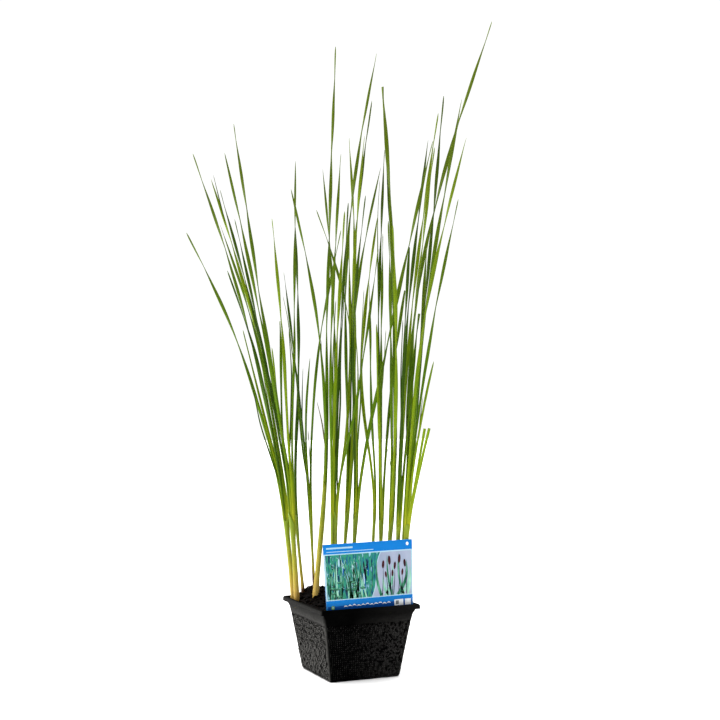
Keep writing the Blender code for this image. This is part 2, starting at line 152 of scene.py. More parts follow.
camera = {
    "distance": 1.320,  # metres from the basket's middle
    "height": 0.290,
    "turn": 23.75,      # degrees that the basket's front is turned from the camera
    "lens": 60,
    "shiftX": 9.9 / 720,
    "shiftY": 48.2 / 720,
    "middleX": 350.1,   # picture point of the basket's middle at the floor
    "floorY": 671.8,
    "pixel": 1.1,       # mm that one picture point spans at the basket's middle
}

turn = math.radians(camera["turn"])
across = Vector((math.cos(turn), -math.sin(turn), 0))
away = Vector((math.sin(turn), math.cos(turn), 0))


def addCamera():
    lens = bpy.data.cameras.new("camera")
    lens.lens = camera["lens"]
    lens.sensor_width = 36
    lens.shift_x = camera["shiftX"]
    lens.shift_y = camera["shiftY"]
    lens.clip_end = 50
    eye = bpy.data.objects.new("camera", lens)
    eye.location = -away * camera["distance"] + Vector((0, 0, camera["height"]))
    eye.rotation_euler = away.to_track_quat("-Z", "Y").to_euler()
    bpy.context.scene.collection.objects.link(eye)
    bpy.context.scene.camera = eye


def boardPoint(x, y, back):
    # the place that the camera sees at a picture point, this many mm behind the basket's middle
    reach = (camera["distance"] + back * mm) / camera["distance"]
    side = (x - camera["middleX"]) * camera["pixel"] * mm
    up = (camera["floorY"] - y) * camera["pixel"] * mm
    place = across * (side * reach) + away * (back * mm)
    place.z = camera["height"] + (up - camera["height"]) * reach
    return place


def picturePoint(place):
    reach = (camera["distance"] + place.dot(away)) / camera["distance"]
    x = camera["middleX"] + place.dot(across) / reach / (camera["pixel"] * mm)
    up = (place.z - camera["height"]) / reach + camera["height"]
    return x, camera["floorY"] - up / (camera["pixel"] * mm)


addCamera()
print("camera placed")


# materials

leafLook = {
    "roughness": 0.52,
    "mirror": 0.09,      # how much the waxy skin mirrors: a leaf is far duller than clean glass
    "lowest": 0.065,     # metres at which the tones begin, and the span that they fill
    "span": 0.75,
    "wander": 0.13,      # metres by which a tone's height drifts, and mm of leaf over which it does so
    "drift": 71.4,
    "veins": 11,         # bundles of veins round a leaf, and mm after which they change
    "veinRun": 71.4,
    "ageing": 58.8,      # mm of leaf that age alike
}

# colours from the soil up, each at a share of the span
leafTones = {
    "Mid": [
        (0.105, "#c9a948"), (0.150, "#ab9a2a"), (0.195, "#8a8f18"), (0.26, "#667c0b"),
        (0.36, "#4e6d05"), (0.50, "#486204"), (0.70, "#4b5d0e"), (1.0, "#566616"),
    ],
    "Bright": [
        (0.105, "#d6bb5c"), (0.150, "#b9a733"), (0.20, "#9c9e20"), (0.28, "#7b8f10"),
        (0.40, "#667e08"), (0.55, "#627708"), (0.75, "#607214"), (1.0, "#6a7c1c"),
    ],
    "Dark": [
        (0.105, "#b29740"), (0.150, "#807a20"), (0.20, "#5c6e12"), (0.28, "#3f5b05"),
        (0.40, "#2e4a03"), (0.60, "#324804"), (0.80, "#3a4a0b"), (1.0, "#455412"),
    ],
    "Dry": [
        (0.105, "#816831"), (0.15, "#745c27"), (0.22, "#6c6234"), (0.40, "#5f5f38"),
        (0.6, "#5a5a35"), (0.80, "#5c5a38"), (0.9, "#5b583a"), (1.0, "#615a39"),
    ],
}

sheathLook = {
    "roughness": 0.5,
    "mirror": 0.22,
    "wander": 0.03,      # both as for a leaf
    "drift": 16.7,
    "ribs": 14,          # stained ribs round a sheath, and mm after which they change
    "ribRun": 33.3,
}

# colours from the foot of a sheath to where it turns green
sheathTones = {
    "Fresh": [(0.0, "#94713a"), (0.12, "#b39a4a"), (0.34, "#a9a236"), (0.62, "#8a9728"), (1.0, "#769226")],
    "Pale": [(0.0, "#a3804a"), (0.12, "#c3a65a"), (0.34, "#b6a848"), (0.62, "#9c9c30"), (1.0, "#7f8a1c")],
    "Old": [(0.0, "#3c2412"), (0.2, "#5a371b"), (0.5, "#6d4522"), (0.8, "#7b552c"), (1.0, "#846234")],
}

basketLook = {
    "grime": 16.7,       # mm across a patch of dried water
    "sheenMottle": 2.5,         # and a patch where the painted sheen thins out
    "peel": 1.43,        # and a dimple of the moulded face: real ones are under 0.5 mm, too fine to show
    "mirror": 0.003,
    # grey of the painted sheen: a painted reflection of the left light
    "film": "#4d4c4a",
}

# painted sheen, a grey film that stands in for the left light's reflection: most on the ribs and strands of
# the side panels, and none on the wall behind the net, which paints shade into its holes; the squared
# sideways normal from which it lies, the least of it in a bare patch, and the most
basketPaintedSheen = {
    "plain": (0.2, 0.75, 0.85),
    "net": (0.55, 0.0, 1.15),
    "rib": (0.55, 0.7, 1.6),
    "shade": (0.55, 0.0, 0.0),
}


def leafMaterial(name, tones):
    # living cattail leaf: satin cuticle over fine parallel veins, cream where it was wrapped and saw no light
    material, add, here = startMaterial(name)
    height = add("SeparateXYZ", {0: here}).outputs["Z"]
    drift = add("TexNoise", {"Vector": here, "Scale": grain(leafLook["drift"]), "Detail": 2})
    shifted = add("Math", {"operation": "MULTIPLY_ADD", 0: drift, 1: leafLook["wander"], 2: height})
    low, high = leafLook["lowest"], leafLook["lowest"] + leafLook["span"]
    share = add("MapRange", {"Value": shifted, "From Min": low, "From Max": high})
    green = add("ValToRGB", {"Fac": share, "stops": tones})

    # real veins lie 0.3 mm apart, too fine to show, so they are drawn as bundles of about 1 mm
    uv = add("UVMap", {"uv_map": "UVMap"})
    stretch = add("Mapping", {"Vector": uv, "Scale": (leafLook["veins"], grain(leafLook["veinRun"]), 1)})
    streak = add("TexNoise", {"Vector": stretch, "Scale": 1.0, "Detail": 3, "Roughness": 0.55})
    veins = add("ValToRGB", {"Fac": streak, "stops": [(0.32, 0.70), (0.50, 1.0), (0.70, 1.0)]})
    veined = add("MixRGB", {"blend_type": "MULTIPLY", "Fac": 0.7, 1: green, 2: veins})

    # about a hand's width of a leaf is now and then older or less lit than the rest
    blotch = add("TexNoise", {"Vector": here, "Scale": grain(leafLook["ageing"]), "Detail": 3})
    ages = [(0.36, "#e9e6a0"), (0.50, "#ffffff"), (0.68, "#bfd08c")]
    aged = add("ValToRGB", {"Fac": blotch, "stops": ages})
    final = add("MixRGB", {"blend_type": "MULTIPLY", "Fac": 0.45, 1: veined, 2: aged})
    smoothest, roughest = leafLook["roughness"] - 0.08, leafLook["roughness"] + 0.1
    gloss = add("MapRange", {"Value": blotch, "To Min": smoothest, "To Max": roughest})
    bump = add("Bump", {"Strength": 0.22, "Distance": 0.3 * mm, "Height": streak})
    return finishMaterial(material, {
        "Base Color": final, "Roughness": gloss, "Normal": bump,
        "IOR": 1.45, "Specular IOR Level": leafLook["mirror"],
        "Subsurface Weight": 0.12, "Subsurface Radius": (0.7, 1.0, 0.15), "Subsurface Scale": 0.001,
    })


def sheathMaterial(name, tones):
    # lower leaf sheath: waxy cream where it was wrapped, then yellow-green, with long stains between ribs
    material, add, here = startMaterial(name)
    height = add("SeparateXYZ", {0: here}).outputs["Z"]
    drift = add("TexNoise", {"Vector": here, "Scale": grain(sheathLook["drift"]), "Detail": 3})
    shifted = add("Math", {"operation": "MULTIPLY_ADD", 0: drift, 1: sheathLook["wander"], 2: height})
    share = add("MapRange", {"Value": shifted, "From Min": 0.09, "From Max": 0.19})
    tint = add("ValToRGB", {"Fac": share, "stops": tones})
    uv = add("UVMap", {"uv_map": "UVMap"})
    stretch = add("Mapping", {"Vector": uv, "Scale": (sheathLook["ribs"], grain(sheathLook["ribRun"]), 1)})
    streak = add("TexNoise", {"Vector": stretch, "Scale": 1.0, "Detail": 3})
    marks = [(0.34, "#7c5a1e"), (0.47, "#dccd8c"), (0.58, "#ffffff")]
    stains = add("ValToRGB", {"Fac": streak, "stops": marks})
    final = add("MixRGB", {"blend_type": "MULTIPLY", "Fac": 0.55, 1: tint, 2: stains})
    bump = add("Bump", {"Strength": 0.35, "Distance": 0.4 * mm, "Height": streak})
    return finishMaterial(material, {
        "Base Color": final, "Normal": bump, "Roughness": sheathLook["roughness"],
        "IOR": 1.45, "Specular IOR Level": sheathLook["mirror"],
        "Subsurface Weight": 0.15, "Subsurface Radius": (1.0, 0.8, 0.3), "Subsurface Scale": 0.0012,
    })


def basketMaterial(name, facingFrom, patchLow, paintedSheen):
    # injection-moulded black polypropylene: dull, nearly black, with a patchy grey film of painted sheen that
    # stands in for reflected light
    material, add, here = startMaterial(name)
    grimeScale = grain(basketLook["grime"])
    grime = add("TexNoise", {"Vector": here, "Scale": grimeScale, "Detail": 6, "Roughness": 0.65})
    blacks = [(0.35, "#010101"), (0.62, "#030303"), (0.80, "#0d0b0a")]
    tint = add("ValToRGB", {"Fac": grime, "stops": blacks})

    # the painted sheen lies on the two side panels, where the left light would glint, as a thin painted glint
    # on the front's right end, and hardly at all under the rim
    where = add("SeparateXYZ", {0: here})
    facing = add("SeparateXYZ", {0: add("NewGeometry").outputs["Normal"]})
    sideways = add("Math", {"operation": "POWER", 0: facing.outputs["X"], 1: 2.0})
    frontPaintedGlint = add("MapRange", {
        "Value": where.outputs["X"], "From Min": -0.02, "From Max": 0.05, "To Min": 0.0, "To Max": 0.3,
    })
    film = add("MapRange", {
        "Value": sideways, "From Min": facingFrom, "From Max": 0.85, "To Min": frontPaintedGlint, "To Max": paintedSheen,
    })
    sheenMottle = add("TexNoise", {"Vector": here, "Scale": grain(basketLook["sheenMottle"]), "Detail": 2})
    patches = add("MapRange", {
        "Value": sheenMottle, "From Min": 0.43, "From Max": 0.57, "To Min": patchLow,
    })
    rimBand = add("MapRange", {
        "Value": where.outputs["Z"], "From Min": 0.056, "From Max": 0.070, "To Min": 1.0, "To Max": 0.28,
    })
    patchy = add("Math", {"operation": "MULTIPLY", 0: film, 1: patches})
    amount = add("Math", {"operation": "MULTIPLY", 0: patchy, 1: rimBand})
    # the painted reflection is mixed over the black
    withPaintedSheen = add("MixRGB", {"Fac": amount, 1: tint, 2: srgb(basketLook["film"])})
    gloss = add("MapRange", {
        "Value": grime, "From Min": 0.3, "From Max": 0.7, "To Min": 0.30, "To Max": 0.46,
    })
    peel = add("TexNoise", {"Vector": here, "Scale": grain(basketLook["peel"]), "Detail": 2})
    bump = add("Bump", {"Strength": 0.35, "Distance": 0.3 * mm, "Height": peel})
    return finishMaterial(material, {
        "Base Color": withPaintedSheen, "Roughness": gloss, "Normal": bump,
        "IOR": 1.49, "Specular IOR Level": basketLook["mirror"],
    })


def soilMaterial(name):
    # damp peat and loam: nearly black, with reddish brown fibre in clods of about 4 mm, and a few pale
    # grains of sand, which are under 1 mm in fact, too fine to show, and drawn about 2 mm apart
    material, add, here = startMaterial(name)
    clods = add("TexNoise", {"Vector": here, "Scale": grain(3.85), "Detail": 6, "Roughness": 0.7})
    grains = add("TexVoronoi", {"Vector": here, "Scale": grain(1.923)})
    browns = [(0.34, "#020101"), (0.56, "#060302"), (0.68, "#170b07"), (0.80, "#38201a")]
    tint = add("ValToRGB", {"Fac": clods, "stops": browns})
    speck = add("ValToRGB", {"Fac": grains, "stops": [(0.05, "#6a4a36"), (0.16, "#ffffff")]})
    final = add("MixRGB", {"blend_type": "MULTIPLY", "Fac": 0.35, 1: tint, 2: speck})
    bump = add("Bump", {"Strength": 0.9, "Distance": 1.0 * mm, "Height": clods})
    return finishMaterial(material, {
        "Base Color": final, "Normal": bump, "Roughness": 0.9, "IOR": 1.4, "Specular IOR Level": 0.06,
    })


def inkMaterial(name, colours, patch, stretch=(1, 1, 1), softness=0.2):
    # gloss-laminated ink on polypropylene sheet, with the mottle of a photographic print, and a film that
    # ripples every 3 cm
    material, add, here = startMaterial(name)
    drawn = add("Mapping", {"Vector": here, "Scale": stretch})
    mottle = add("TexNoise", {"Vector": drawn, "Scale": grain(patch), "Detail": 4})
    last = max(1, len(colours) - 1)
    steps = [(0.5 + softness * (2 * i / last - 1), colour) for i, colour in enumerate(colours)]
    tint = add("ValToRGB", {"Fac": mottle, "stops": steps})
    ripple = add("TexNoise", {"Vector": here, "Scale": grain(28.6)})
    bump = add("Bump", {"Strength": 0.05, "Distance": 1.0 * mm, "Height": ripple})
    return finishMaterial(material, {
        "Base Color": tint, "Normal": bump, "Roughness": 0.3, "IOR": 1.5, "Specular IOR Level": 0.08,
    })


leafStuff = {tone: leafMaterial("cattailLeaf" + tone, stops) for tone, stops in leafTones.items()}
sheathStuff = {tone: sheathMaterial("cattailSheath" + tone, stops) for tone, stops in sheathTones.items()}
moulded = {}
# each part of the basket gets its own amount of painted sheen
for part, paintedSheen in basketPaintedSheen.items():
    suffix = "" if part == "plain" else part.title()
    moulded[part] = basketMaterial("mouldedPolypropylene" + suffix, *paintedSheen)
peat = soilMaterial("peatPottingSoil")
print("materials made")


# leaves: each follows the bend and twist of its solid

leafShape = {
    "ringGap": 5.0,       # mm of height that tell one ring of a solid from the next
    "fineStep": 4.0,      # mm between rings of the finished leaf
    "rimPoints": 10,      # points round the section
    "wide": 0.93,         # width as a share of the solid's
    "tipWider": 0.30,     # and this much more near the tip
    "pointFrom": 0.985,   # share of the length where a whole tip draws to its point
    "blunt": 0.35,        # share of the width left at the point
    # height in metres and thickness as a share of the width: wrapped, then stout and spongy, then a blade,
    # which draws in more in width than in thickness near its tip
    "thickness": [(0.130, 0.45), (0.165, 0.92), (0.29, 0.80), (0.36, 0.46), (0.45, 0.33), (0.58, 0.50)],
    "roundSide": 0.62,    # share of the thickness in front of the middle
    "hollowSide": (0.36, 0.12),  # and behind it, low down and high up
}
gather = {
    "rooted": 10.0,       # mm of each leaf that are under the soil
    "share": 0.50,        # how far apart wrapped leaves lie, as a share of their solids' places
    "straight": 52.0,     # mm above the soil up to which they stay wrapped
    "easing": 60.0,       # and over which they part
    # mm to the right at the foot, gone where the blades stand free
    "nudge": {"a": -3.9, "b": -4.9, "c": -1.5, "i": -1.2, "m": 2.2},
    "nudgeGone": (0.24, 0.38),
    "stems": [("f1", "f2", "f3"), ("f4", "f5", "f6")],  # this shoot rises as two stems
}

cutTips = "b1 f6 j4 k3 l3 l4 m5 n4 n5".split()
brightLeaves = "a5 b5 c2 f2 f6 g3 h2 i1 j3 k2 l2 m3 n1 n3 n4 n5".split()
darkLeaves = "a2 b2 c1 c3 d1 f4 g2 h1 j1 k4 l1 l3 m4".split()


def gaps(points):
    return [(after - before).length for before, after in zip(points, points[1:])]


def heading(points, i):
    return (points[min(i + 1, len(points) - 1)] - points[max(i - 1, 0)]).normalized()


def ringPoints(node):
    # the corners of a leaf's solid, ring by ring from the foot up
    rings = []
    for point in sorted((v.co.copy() for v in node.data.vertices), key=lambda p: p.z):
        if not rings or point.z - rings[-1][0].z > leafShape["ringGap"] * mm:
            rings.append([])
        if all((point - other).length > 0.02 * mm for other in rings[-1]):
            rings[-1].append(point)
    return [ring for ring in rings if len(ring) == 3]


def leafStations(node):
    # middle and width vector at each ring: the blade's face is the longest side
    stations = []
    for ring in ringPoints(node):
        sides = [(ring[(k + 1) % 3] - ring[(k + 2) % 3]).length for k in range(3)]
        k = sides.index(max(sides))
        keel, one, other = ring[k], ring[(k + 1) % 3], ring[(k + 2) % 3]
        face = (one + other) / 2
        stations.append([(face + keel) / 2, other - one, keel - face])
    middles = [station[0] for station in stations]
    for i, (middle, wide, keel) in enumerate(stations):
        if wide.cross(keel).dot(heading(middles, i)) < 0:
            stations[i][1] = -wide
    return stations


def smoothBetween(values, lengths, i, t):
    # a curve through unevenly spaced values, at a share of the way from number i to the next
    last = len(values) - 1
    before = lengths[i - 1] if i else 0
    after = lengths[i + 1] if i + 1 < last else 0
    b, c = values[i], values[i + 1]
    leave = (c - values[max(i - 1, 0)]) * (lengths[i] / (before + lengths[i]))
    arrive = (values[min(i + 2, last)] - b) * (lengths[i] / (lengths[i] + after))
    return (b * (2 * t ** 3 - 3 * t ** 2 + 1) + leave * (t ** 3 - 2 * t ** 2 + t)
            + c * (3 * t ** 2 - 2 * t ** 3) + arrive * (t ** 3 - t ** 2))


def fineSteps(points, fewest):
    # steps of a smooth curve: number of the stretch, share of it, place, and length from the foot
    lengths = gaps(points)
    length, before = 0.0, points[0]
    for i in range(len(lengths)):
        steps = max(fewest, round(lengths[i] / (leafShape["fineStep"] * mm)))
        for step in range(steps + (i == len(lengths) - 1)):
            place = smoothBetween(points, lengths, i, step / steps)
            length += (place - before).length
            before = place
            yield i, step / steps, place, length


def fineLeaf(stations):
    # rings close together along the leaf, with its width turned smoothly between the solid's rings
    middles = [station[0] for station in stations]
    tangents = [heading(middles, i) for i in range(len(middles))]
    reference = Vector((1, 0, 0))
    angles = []
    for tangent, (middle, wide, keel) in zip(tangents, stations):
        reference = (reference - tangent * reference.dot(tangent)).normalized()
        flat = (wide - tangent * wide.dot(tangent)).normalized()
        angle = math.atan2(flat.dot(tangent.cross(reference)), flat.dot(reference))
        turns = round((angle - angles[-1]) / (2 * math.pi)) if angles else 0
        angles.append(angle - turns * 2 * math.pi)
    widths = [station[1].length for station in stations]
    lengths = gaps(middles)
    fine = []
    reference = Vector((1, 0, 0))
    for i, t, middle, length in fineSteps(middles, 1):
        tangent = tangents[i].lerp(tangents[i + 1], t).normalized()
        angle = smoothBetween(angles, lengths, i, t)
        reference = (reference - tangent * reference.dot(tangent)).normalized()
        wide = reference * math.cos(angle) + tangent.cross(reference) * math.sin(angle)
        fine.append({"middle": middle, "tangent": tangent, "wide": wide, "along": length,
                     "width": widths[i] + (widths[i + 1] - widths[i]) * t})
    return fine


def sweepLeaf(bm, fine, pointed=True, endMaterial=0):
    # a blade with one slightly hollow face and one rounded face, stout low down and flat above
    shape = leafShape
    heights, thickness = zip(*shape["thickness"])
    hollowLow, hollowHigh = shape["hollowSide"]
    rings = []
    for spot in fine:
        share = spot["along"] / fine[-1]["along"]
        climbed = clamped((spot["middle"].z - heights[1]) / (heights[-2] - heights[1]))
        hollow = hollowLow + (hollowHigh - hollowLow) * climbed
        thick = spot.get("thick", float(np.interp(spot["middle"].z, heights, thickness)))
        width = spot["width"] * shape["wide"] * (1 + shape["tipWider"] * share ** 6)
        if pointed and share > shape["pointFrom"]:
            drawn = (share - shape["pointFrom"]) / (1 - shape["pointFrom"])
            width *= 1 - (1 - shape["blunt"]) * drawn ** 2
        up = spot["tangent"].cross(spot["wide"]).normalized()
        ring = []
        for k in range(shape["rimPoints"]):
            turned = 2 * math.pi * k / shape["rimPoints"]
            x = math.cos(turned) * 0.5
            y = math.sin(turned) * thick
            y *= shape["roundSide"] if y > 0 else hollow
            ring.append(bm.verts.new(spot["middle"] + spot["wide"] * (x * width) + up * (y * width)))
        rings.append(ring)
    for i in range(len(rings) - 1):
        joinRings(bm, rings[i], rings[i + 1], (fine[i]["along"], fine[i + 1]["along"]))
    bm.faces.new(reversed(rings[0]))
    bm.faces.new(rings[-1]).material_index = endMaterial


def placeLeaf(piece, nodeName):
    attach(piece, "root")
    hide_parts(nodeName)


def middleAt(fine, z):
    for before, after in zip(fine, fine[1:]):
        if after["middle"].z >= z:
            t = (z - before["middle"].z) / max(1e-6, after["middle"].z - before["middle"].z)
            return before["middle"].lerp(after["middle"], t)
    return fine[-1]["middle"]


def soilLine(siblings):
    return siblings[0][0]["middle"].z + gather["rooted"] * mm


def gatherStem(siblings, shoot):
    # press the leaves of a stem together where they are wrapped
    foot = soilLine(siblings)
    spots = [spot for fine in siblings for spot in fine]
    moved = []
    for spot in spots:
        z = spot["middle"].z
        parted = clamped(((z - foot) / mm - gather["straight"]) / gather["easing"])
        if parted < 1:
            centre = sum((middleAt(other, z) for other in siblings), Vector()) / len(siblings)
            keep = gather["share"] + (1 - gather["share"]) * eased(parted)
            moved.append((spot, centre + (spot["middle"] - centre) * keep))
    for spot, middle in moved:
        spot["middle"] = middle
    aside = gather["nudge"].get(shoot, 0)
    near, far = gather["nudgeGone"]
    for spot in spots:
        left = clamped((far - spot["middle"].z) / (far - near))
        spot["middle"] = spot["middle"] + across * (aside * mm * eased(left))


leafFine = {}
for nodeName, node in sorted(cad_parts.items()):
    if nodeName.startswith("leaf_"):
        leafFine[nodeName[5:]] = fineLeaf(leafStations(node))

stems = []
for shoot in "abcdefghijklmn":
    parts = [names for names in gather["stems"] if names[0][0] == shoot]
    stems += parts or [tuple(name for name in leafFine if name[0] == shoot)]
for names in stems:
    gatherStem([leafFine[name] for name in names], names[0][0])

for name, fine in leafFine.items():
    bm = bmesh.new()
    cut = name in cutTips
    sweepLeaf(bm, fine, pointed=not cut, endMaterial=1 if cut else 0)
    tone = "Bright" if name in brightLeaves else "Dark" if name in darkLeaves else "Mid"
    placeLeaf(meshObject("blade_" + name, bm, [leafStuff[tone], leafStuff["Dry"]]), "leaf_" + name)
print("leaves made:", len(leafFine))


# sheaths: the wrapped lower leaves that hold each stem together

sheathShape = {
    "inner": 88.0,        # mm that the inner sheath climbs
    "innerVaries": 6.0,   # and this much more or less from stem to stem
    "taller": {"e": 36.0},
    "slant": 16.0,        # how much higher one side of its mouth is
    "rootDepth": 5.0,
    "skin": 0.45,
    "hold": 0.85,         # mm of sheath and leaf outside the middles of the outermost leaves
    "outerSpare": 0.4,    # mm by which the outer sheath stands off the inner one
    "stouter": {"a": 0.5, "b": 0.2, "c": 0.1, "d": -0.15, "e": 1.5, "f": 0.45, "i": 0.6, "k": 0.2},
    "outer": {"a": 30, "b": 40, "c": 15, "d": 22, "e": 30, "f": 44, "g": 40, "h": 46,
              "j": 28, "k": 44, "m": 38},
    "old": "cd",
    "pale": "e",
    "swell": (0.16, 9.0),   # share by which it is stouter at the soil, and over how many mm that fades
    "snug": (0.7, 0.6),     # share of its looseness that goes towards the mouth, and from which share up
    "flare": (0.08, 0.85),  # share by which the mouth opens, and from which share up
    "columns": 16,
    "rows": 22,
}


def addSheath(bm, siblings, rise, spare, turned):
    # a tube round the siblings, open at the top along a slanting mouth
    shape = sheathShape
    foot = soilLine(siblings)
    low = foot - shape["rootDepth"] * mm
    widest = max(spot["width"] for fine in siblings for spot in fine[:20])
    columns, rows = shape["columns"], shape["rows"]
    grid = []
    for row in range(rows + 1):
        ring = []
        up = row / rows
        for k in range(columns):
            angle = 2 * math.pi * k / columns
            mouth = foot + (rise + shape["slant"] * 0.5 * math.cos(angle - turned)) * mm
            z = low + (mouth - low) * row / rows
            middles = [middleAt(fine, z) for fine in siblings]
            centre = sum(middles, Vector()) / len(middles)
            aside = [(middle - centre).dot(across) for middle in middles]
            behind = [(middle - centre).dot(away) for middle in middles]
            swell = 1 + shape["swell"][0] * math.exp(-((z - foot) / (shape["swell"][1] * mm)) ** 2)
            slimmer, slimFrom = shape["snug"]
            snug = spare * (1 - slimmer * max(0, (up - slimFrom) / (1 - slimFrom)))
            half = (max(aside) - min(aside)) / 2 + (shape["hold"] + snug) * mm * swell
            deep = (max(behind) - min(behind)) / 2 + widest / 2 + snug * mm * swell
            opening, openFrom = shape["flare"]
            flare = 1 + opening * max(0, (up - openFrom) / (1 - openFrom))
            ring.append(bm.verts.new(centre + across * (math.cos(angle) * half * flare)
                                     + away * (math.sin(angle) * deep * flare)))
        grid.append(ring)
    for row in range(rows):
        joinRings(bm, grid[row], grid[row + 1], [r * rise * mm / rows for r in (row, row + 1)])


def wrapStem(names, layer, rise, spare, tone):
    bm = bmesh.new()
    turned = ord(names[0][0]) * 1.7 + (2.4 if layer == "outer" else 0)  # the mouths slant every way
    addSheath(bm, [leafFine[name] for name in names], rise, spare, turned)
    wrap = meshObject("sheath_" + layer + "_" + names[0], bm, [sheathStuff[tone]])
    thicken(wrap, sheathShape["skin"], 0)
    placeLeaf(wrap, "leaf_" + names[len(names) // 2])


for names in stems:
    shoot = names[0][0]
    fresh = "Pale" if shoot in sheathShape["pale"] else "Fresh"
    stouter = sheathShape["stouter"].get(shoot, 0.0)
    climb = sheathShape["inner"] + sheathShape["taller"].get(shoot, 0)
    wrapStem(names, "inner", climb + sheathShape["innerVaries"] * math.sin(ord(shoot) * 1.7), stouter, fresh)
    if shoot in sheathShape["outer"]:
        outer = "Old" if shoot in sheathShape["old"] else fresh
        wrapStem(names, "outer", sheathShape["outer"][shoot], stouter + sheathShape["outerSpare"], outer)
print("sheaths made")


# thin, short and broken leaves that grow among the others

# each has its picture points from the foot up, its width in mm and its colour
thinLeaves = {
    "shortC": ([(301, 425), (302, 395), (303, 368)], 1.5, "Dark"),
    "shortD": ([(311.5, 512), (310.6, 470), (308.2, 431)], 1.9, "Dark"),
    "shortE": ([(324.6, 450), (322, 424), (317, 401.5)], 1.7, "Dry"),
    "thinK": ([(394.5, 500), (391.8, 472), (387, 447)], 1.3, "Dark"),
    "shortN": ([(417.5, 430), (421, 409), (423.2, 396)], 1.4, "Mid"),
    "thinJ": ([(379.6, 330), (378.2, 250), (378, 215), (379.8, 180)], 1.5, "Mid"),
    "thinB": ([(226, 226), (219, 198), (213.4, 175)], 1.5, "Dark"),
    "thinC": ([(294, 366), (288, 320), (283, 296)], 1.3, "Mid"),
    "thinF": ([(334.5, 499), (334.8, 470), (333.2, 436), (333.2, 403), (332.8, 370), (334, 335), (336, 300)],
              2.4, "Mid"),
    "thinG": ([(338.5, 499), (338, 470), (339, 436), (340.6, 403), (340.6, 370), (342, 330), (346, 280)],
              2.2, "Dark"),
    "thinH": ([(359.7, 520), (359.7, 499), (359.5, 440), (361.4, 403), (361, 370), (362, 330), (364, 290)],
              2.0, "Mid"),
    "thinI": ([(380.4, 499), (378.8, 461), (379.6, 436), (380.4, 403), (383, 378), (386, 330)],
              2.2, "Bright"),
    "thinP": ([(280.4, 486), (277, 476), (269.7, 453.5), (260.4, 424), (255.7, 402), (249, 372)],
              1.9, "Dark"),
    "thinQ": ([(281.5, 492), (279, 475), (274.4, 456), (267.4, 429), (260.4, 400), (252, 366), (243, 330)],
              3.4, "Bright"),
    "thinR": ([(283.5, 482), (277.8, 453), (272.4, 427), (267.7, 400), (262, 366)], 2.0, "Bright"),
    "thinS": ([(288.5, 490), (286.5, 458), (281, 429.5), (275, 400), (268, 360)], 2.4, "Mid"),
    "thinT": ([(290.5, 490), (289, 453), (290.5, 427), (291.3, 400), (291.5, 372), (289, 330)], 2.6, "Dark"),
    "thinU": ([(301.4, 476), (300, 452), (299.2, 427), (297.6, 400), (296.4, 375)], 2.4, "Mid"),
    "thinV": ([(354.5, 470), (356.2, 440), (357.5, 403), (358, 370), (356, 335)], 2.4, "Bright"),
    "thinW": ([(392.9, 499), (395.4, 470), (396.2, 436), (395.4, 403), (392.9, 370), (391, 335)],
              3.0, "Bright"),
    "thinX": ([(408.6, 490), (410.3, 470), (413.6, 420), (418.6, 370), (422, 335)], 2.6, "Dark"),
    "thinY": ([(322.6, 499), (324, 470), (325.2, 436), (326.6, 403), (322.6, 370), (321, 340)], 2.4, "Dark"),
    "greyG": ([(345.2, 500), (346.3, 461), (346.8, 425), (347, 411), (348.5, 380)], 1.2, "Dry"),
    "thinL": ([(403, 499), (402, 453), (402, 420), (401.2, 370), (403, 320)], 2.6, "Dark"),
    "thinM": ([(405.5, 499), (407.8, 453), (407, 420), (408.5, 380), (412, 330)], 2.6, "Mid"),
}
thinShape = {
    "thick": 0.6,          # as a share of the width
    "turn": (0.2, 0.9),    # radians that its face is turned at the foot, and how far it twists to the tip
    "width": (0.75, 0.35, 0.3),  # share of the width at the foot, more half way up, and less at the tip
}


def carrierOf(point):
    # the leaf, and the place on it, that the camera sees nearest to a picture point
    spots = [(math.dist(picturePoint(spot["middle"]), point), name, spot["middle"])
             for name, fine in leafFine.items() for spot in fine]
    return min(spots, key=lambda spot: spot[0])[1:]


def thinLeaf(points, width, foot):
    # rings of a leaf that starts at its foot on the carrier and bends to its own picture points
    back = foot.dot(away) / mm
    offset = foot - boardPoint(*points[0], back)
    last = len(points) - 1
    knots = [boardPoint(x, y, back) + offset * (1 - i / last) ** 2 for i, (x, y) in enumerate(points)]
    fine = [{"middle": place, "along": length} for i, t, place, length in fineSteps(knots, 2)]
    middles = [spot["middle"] for spot in fine]
    atFoot, halfWay, atTip = thinShape["width"]
    faced, twist = thinShape["turn"]
    for i, spot in enumerate(fine):
        share = spot["along"] / fine[-1]["along"]
        tangent = heading(middles, i)
        angle = faced + twist * share
        flat = across * math.cos(angle) + away * math.sin(angle)
        swollen = halfWay * math.sin(math.pi * min(1, share * 1.2))
        spot["tangent"] = tangent
        spot["wide"] = (flat - tangent * flat.dot(tangent)).normalized()
        spot["width"] = width * mm * (atFoot + swollen - atTip * share ** 3)
        spot["thick"] = thinShape["thick"]
    return fine


for name, (points, width, tone) in thinLeaves.items():
    carrier, foot = carrierOf(points[0])
    bm = bmesh.new()
    sweepLeaf(bm, thinLeaf(points, width, foot))
    placeLeaf(meshObject("thinLeaf_" + name, bm, [leafStuff[tone]]), "leaf_" + carrier)
print("thin leaves made:", len(thinLeaves))


# basket: solid rim, corners and foot round four panels of fine net

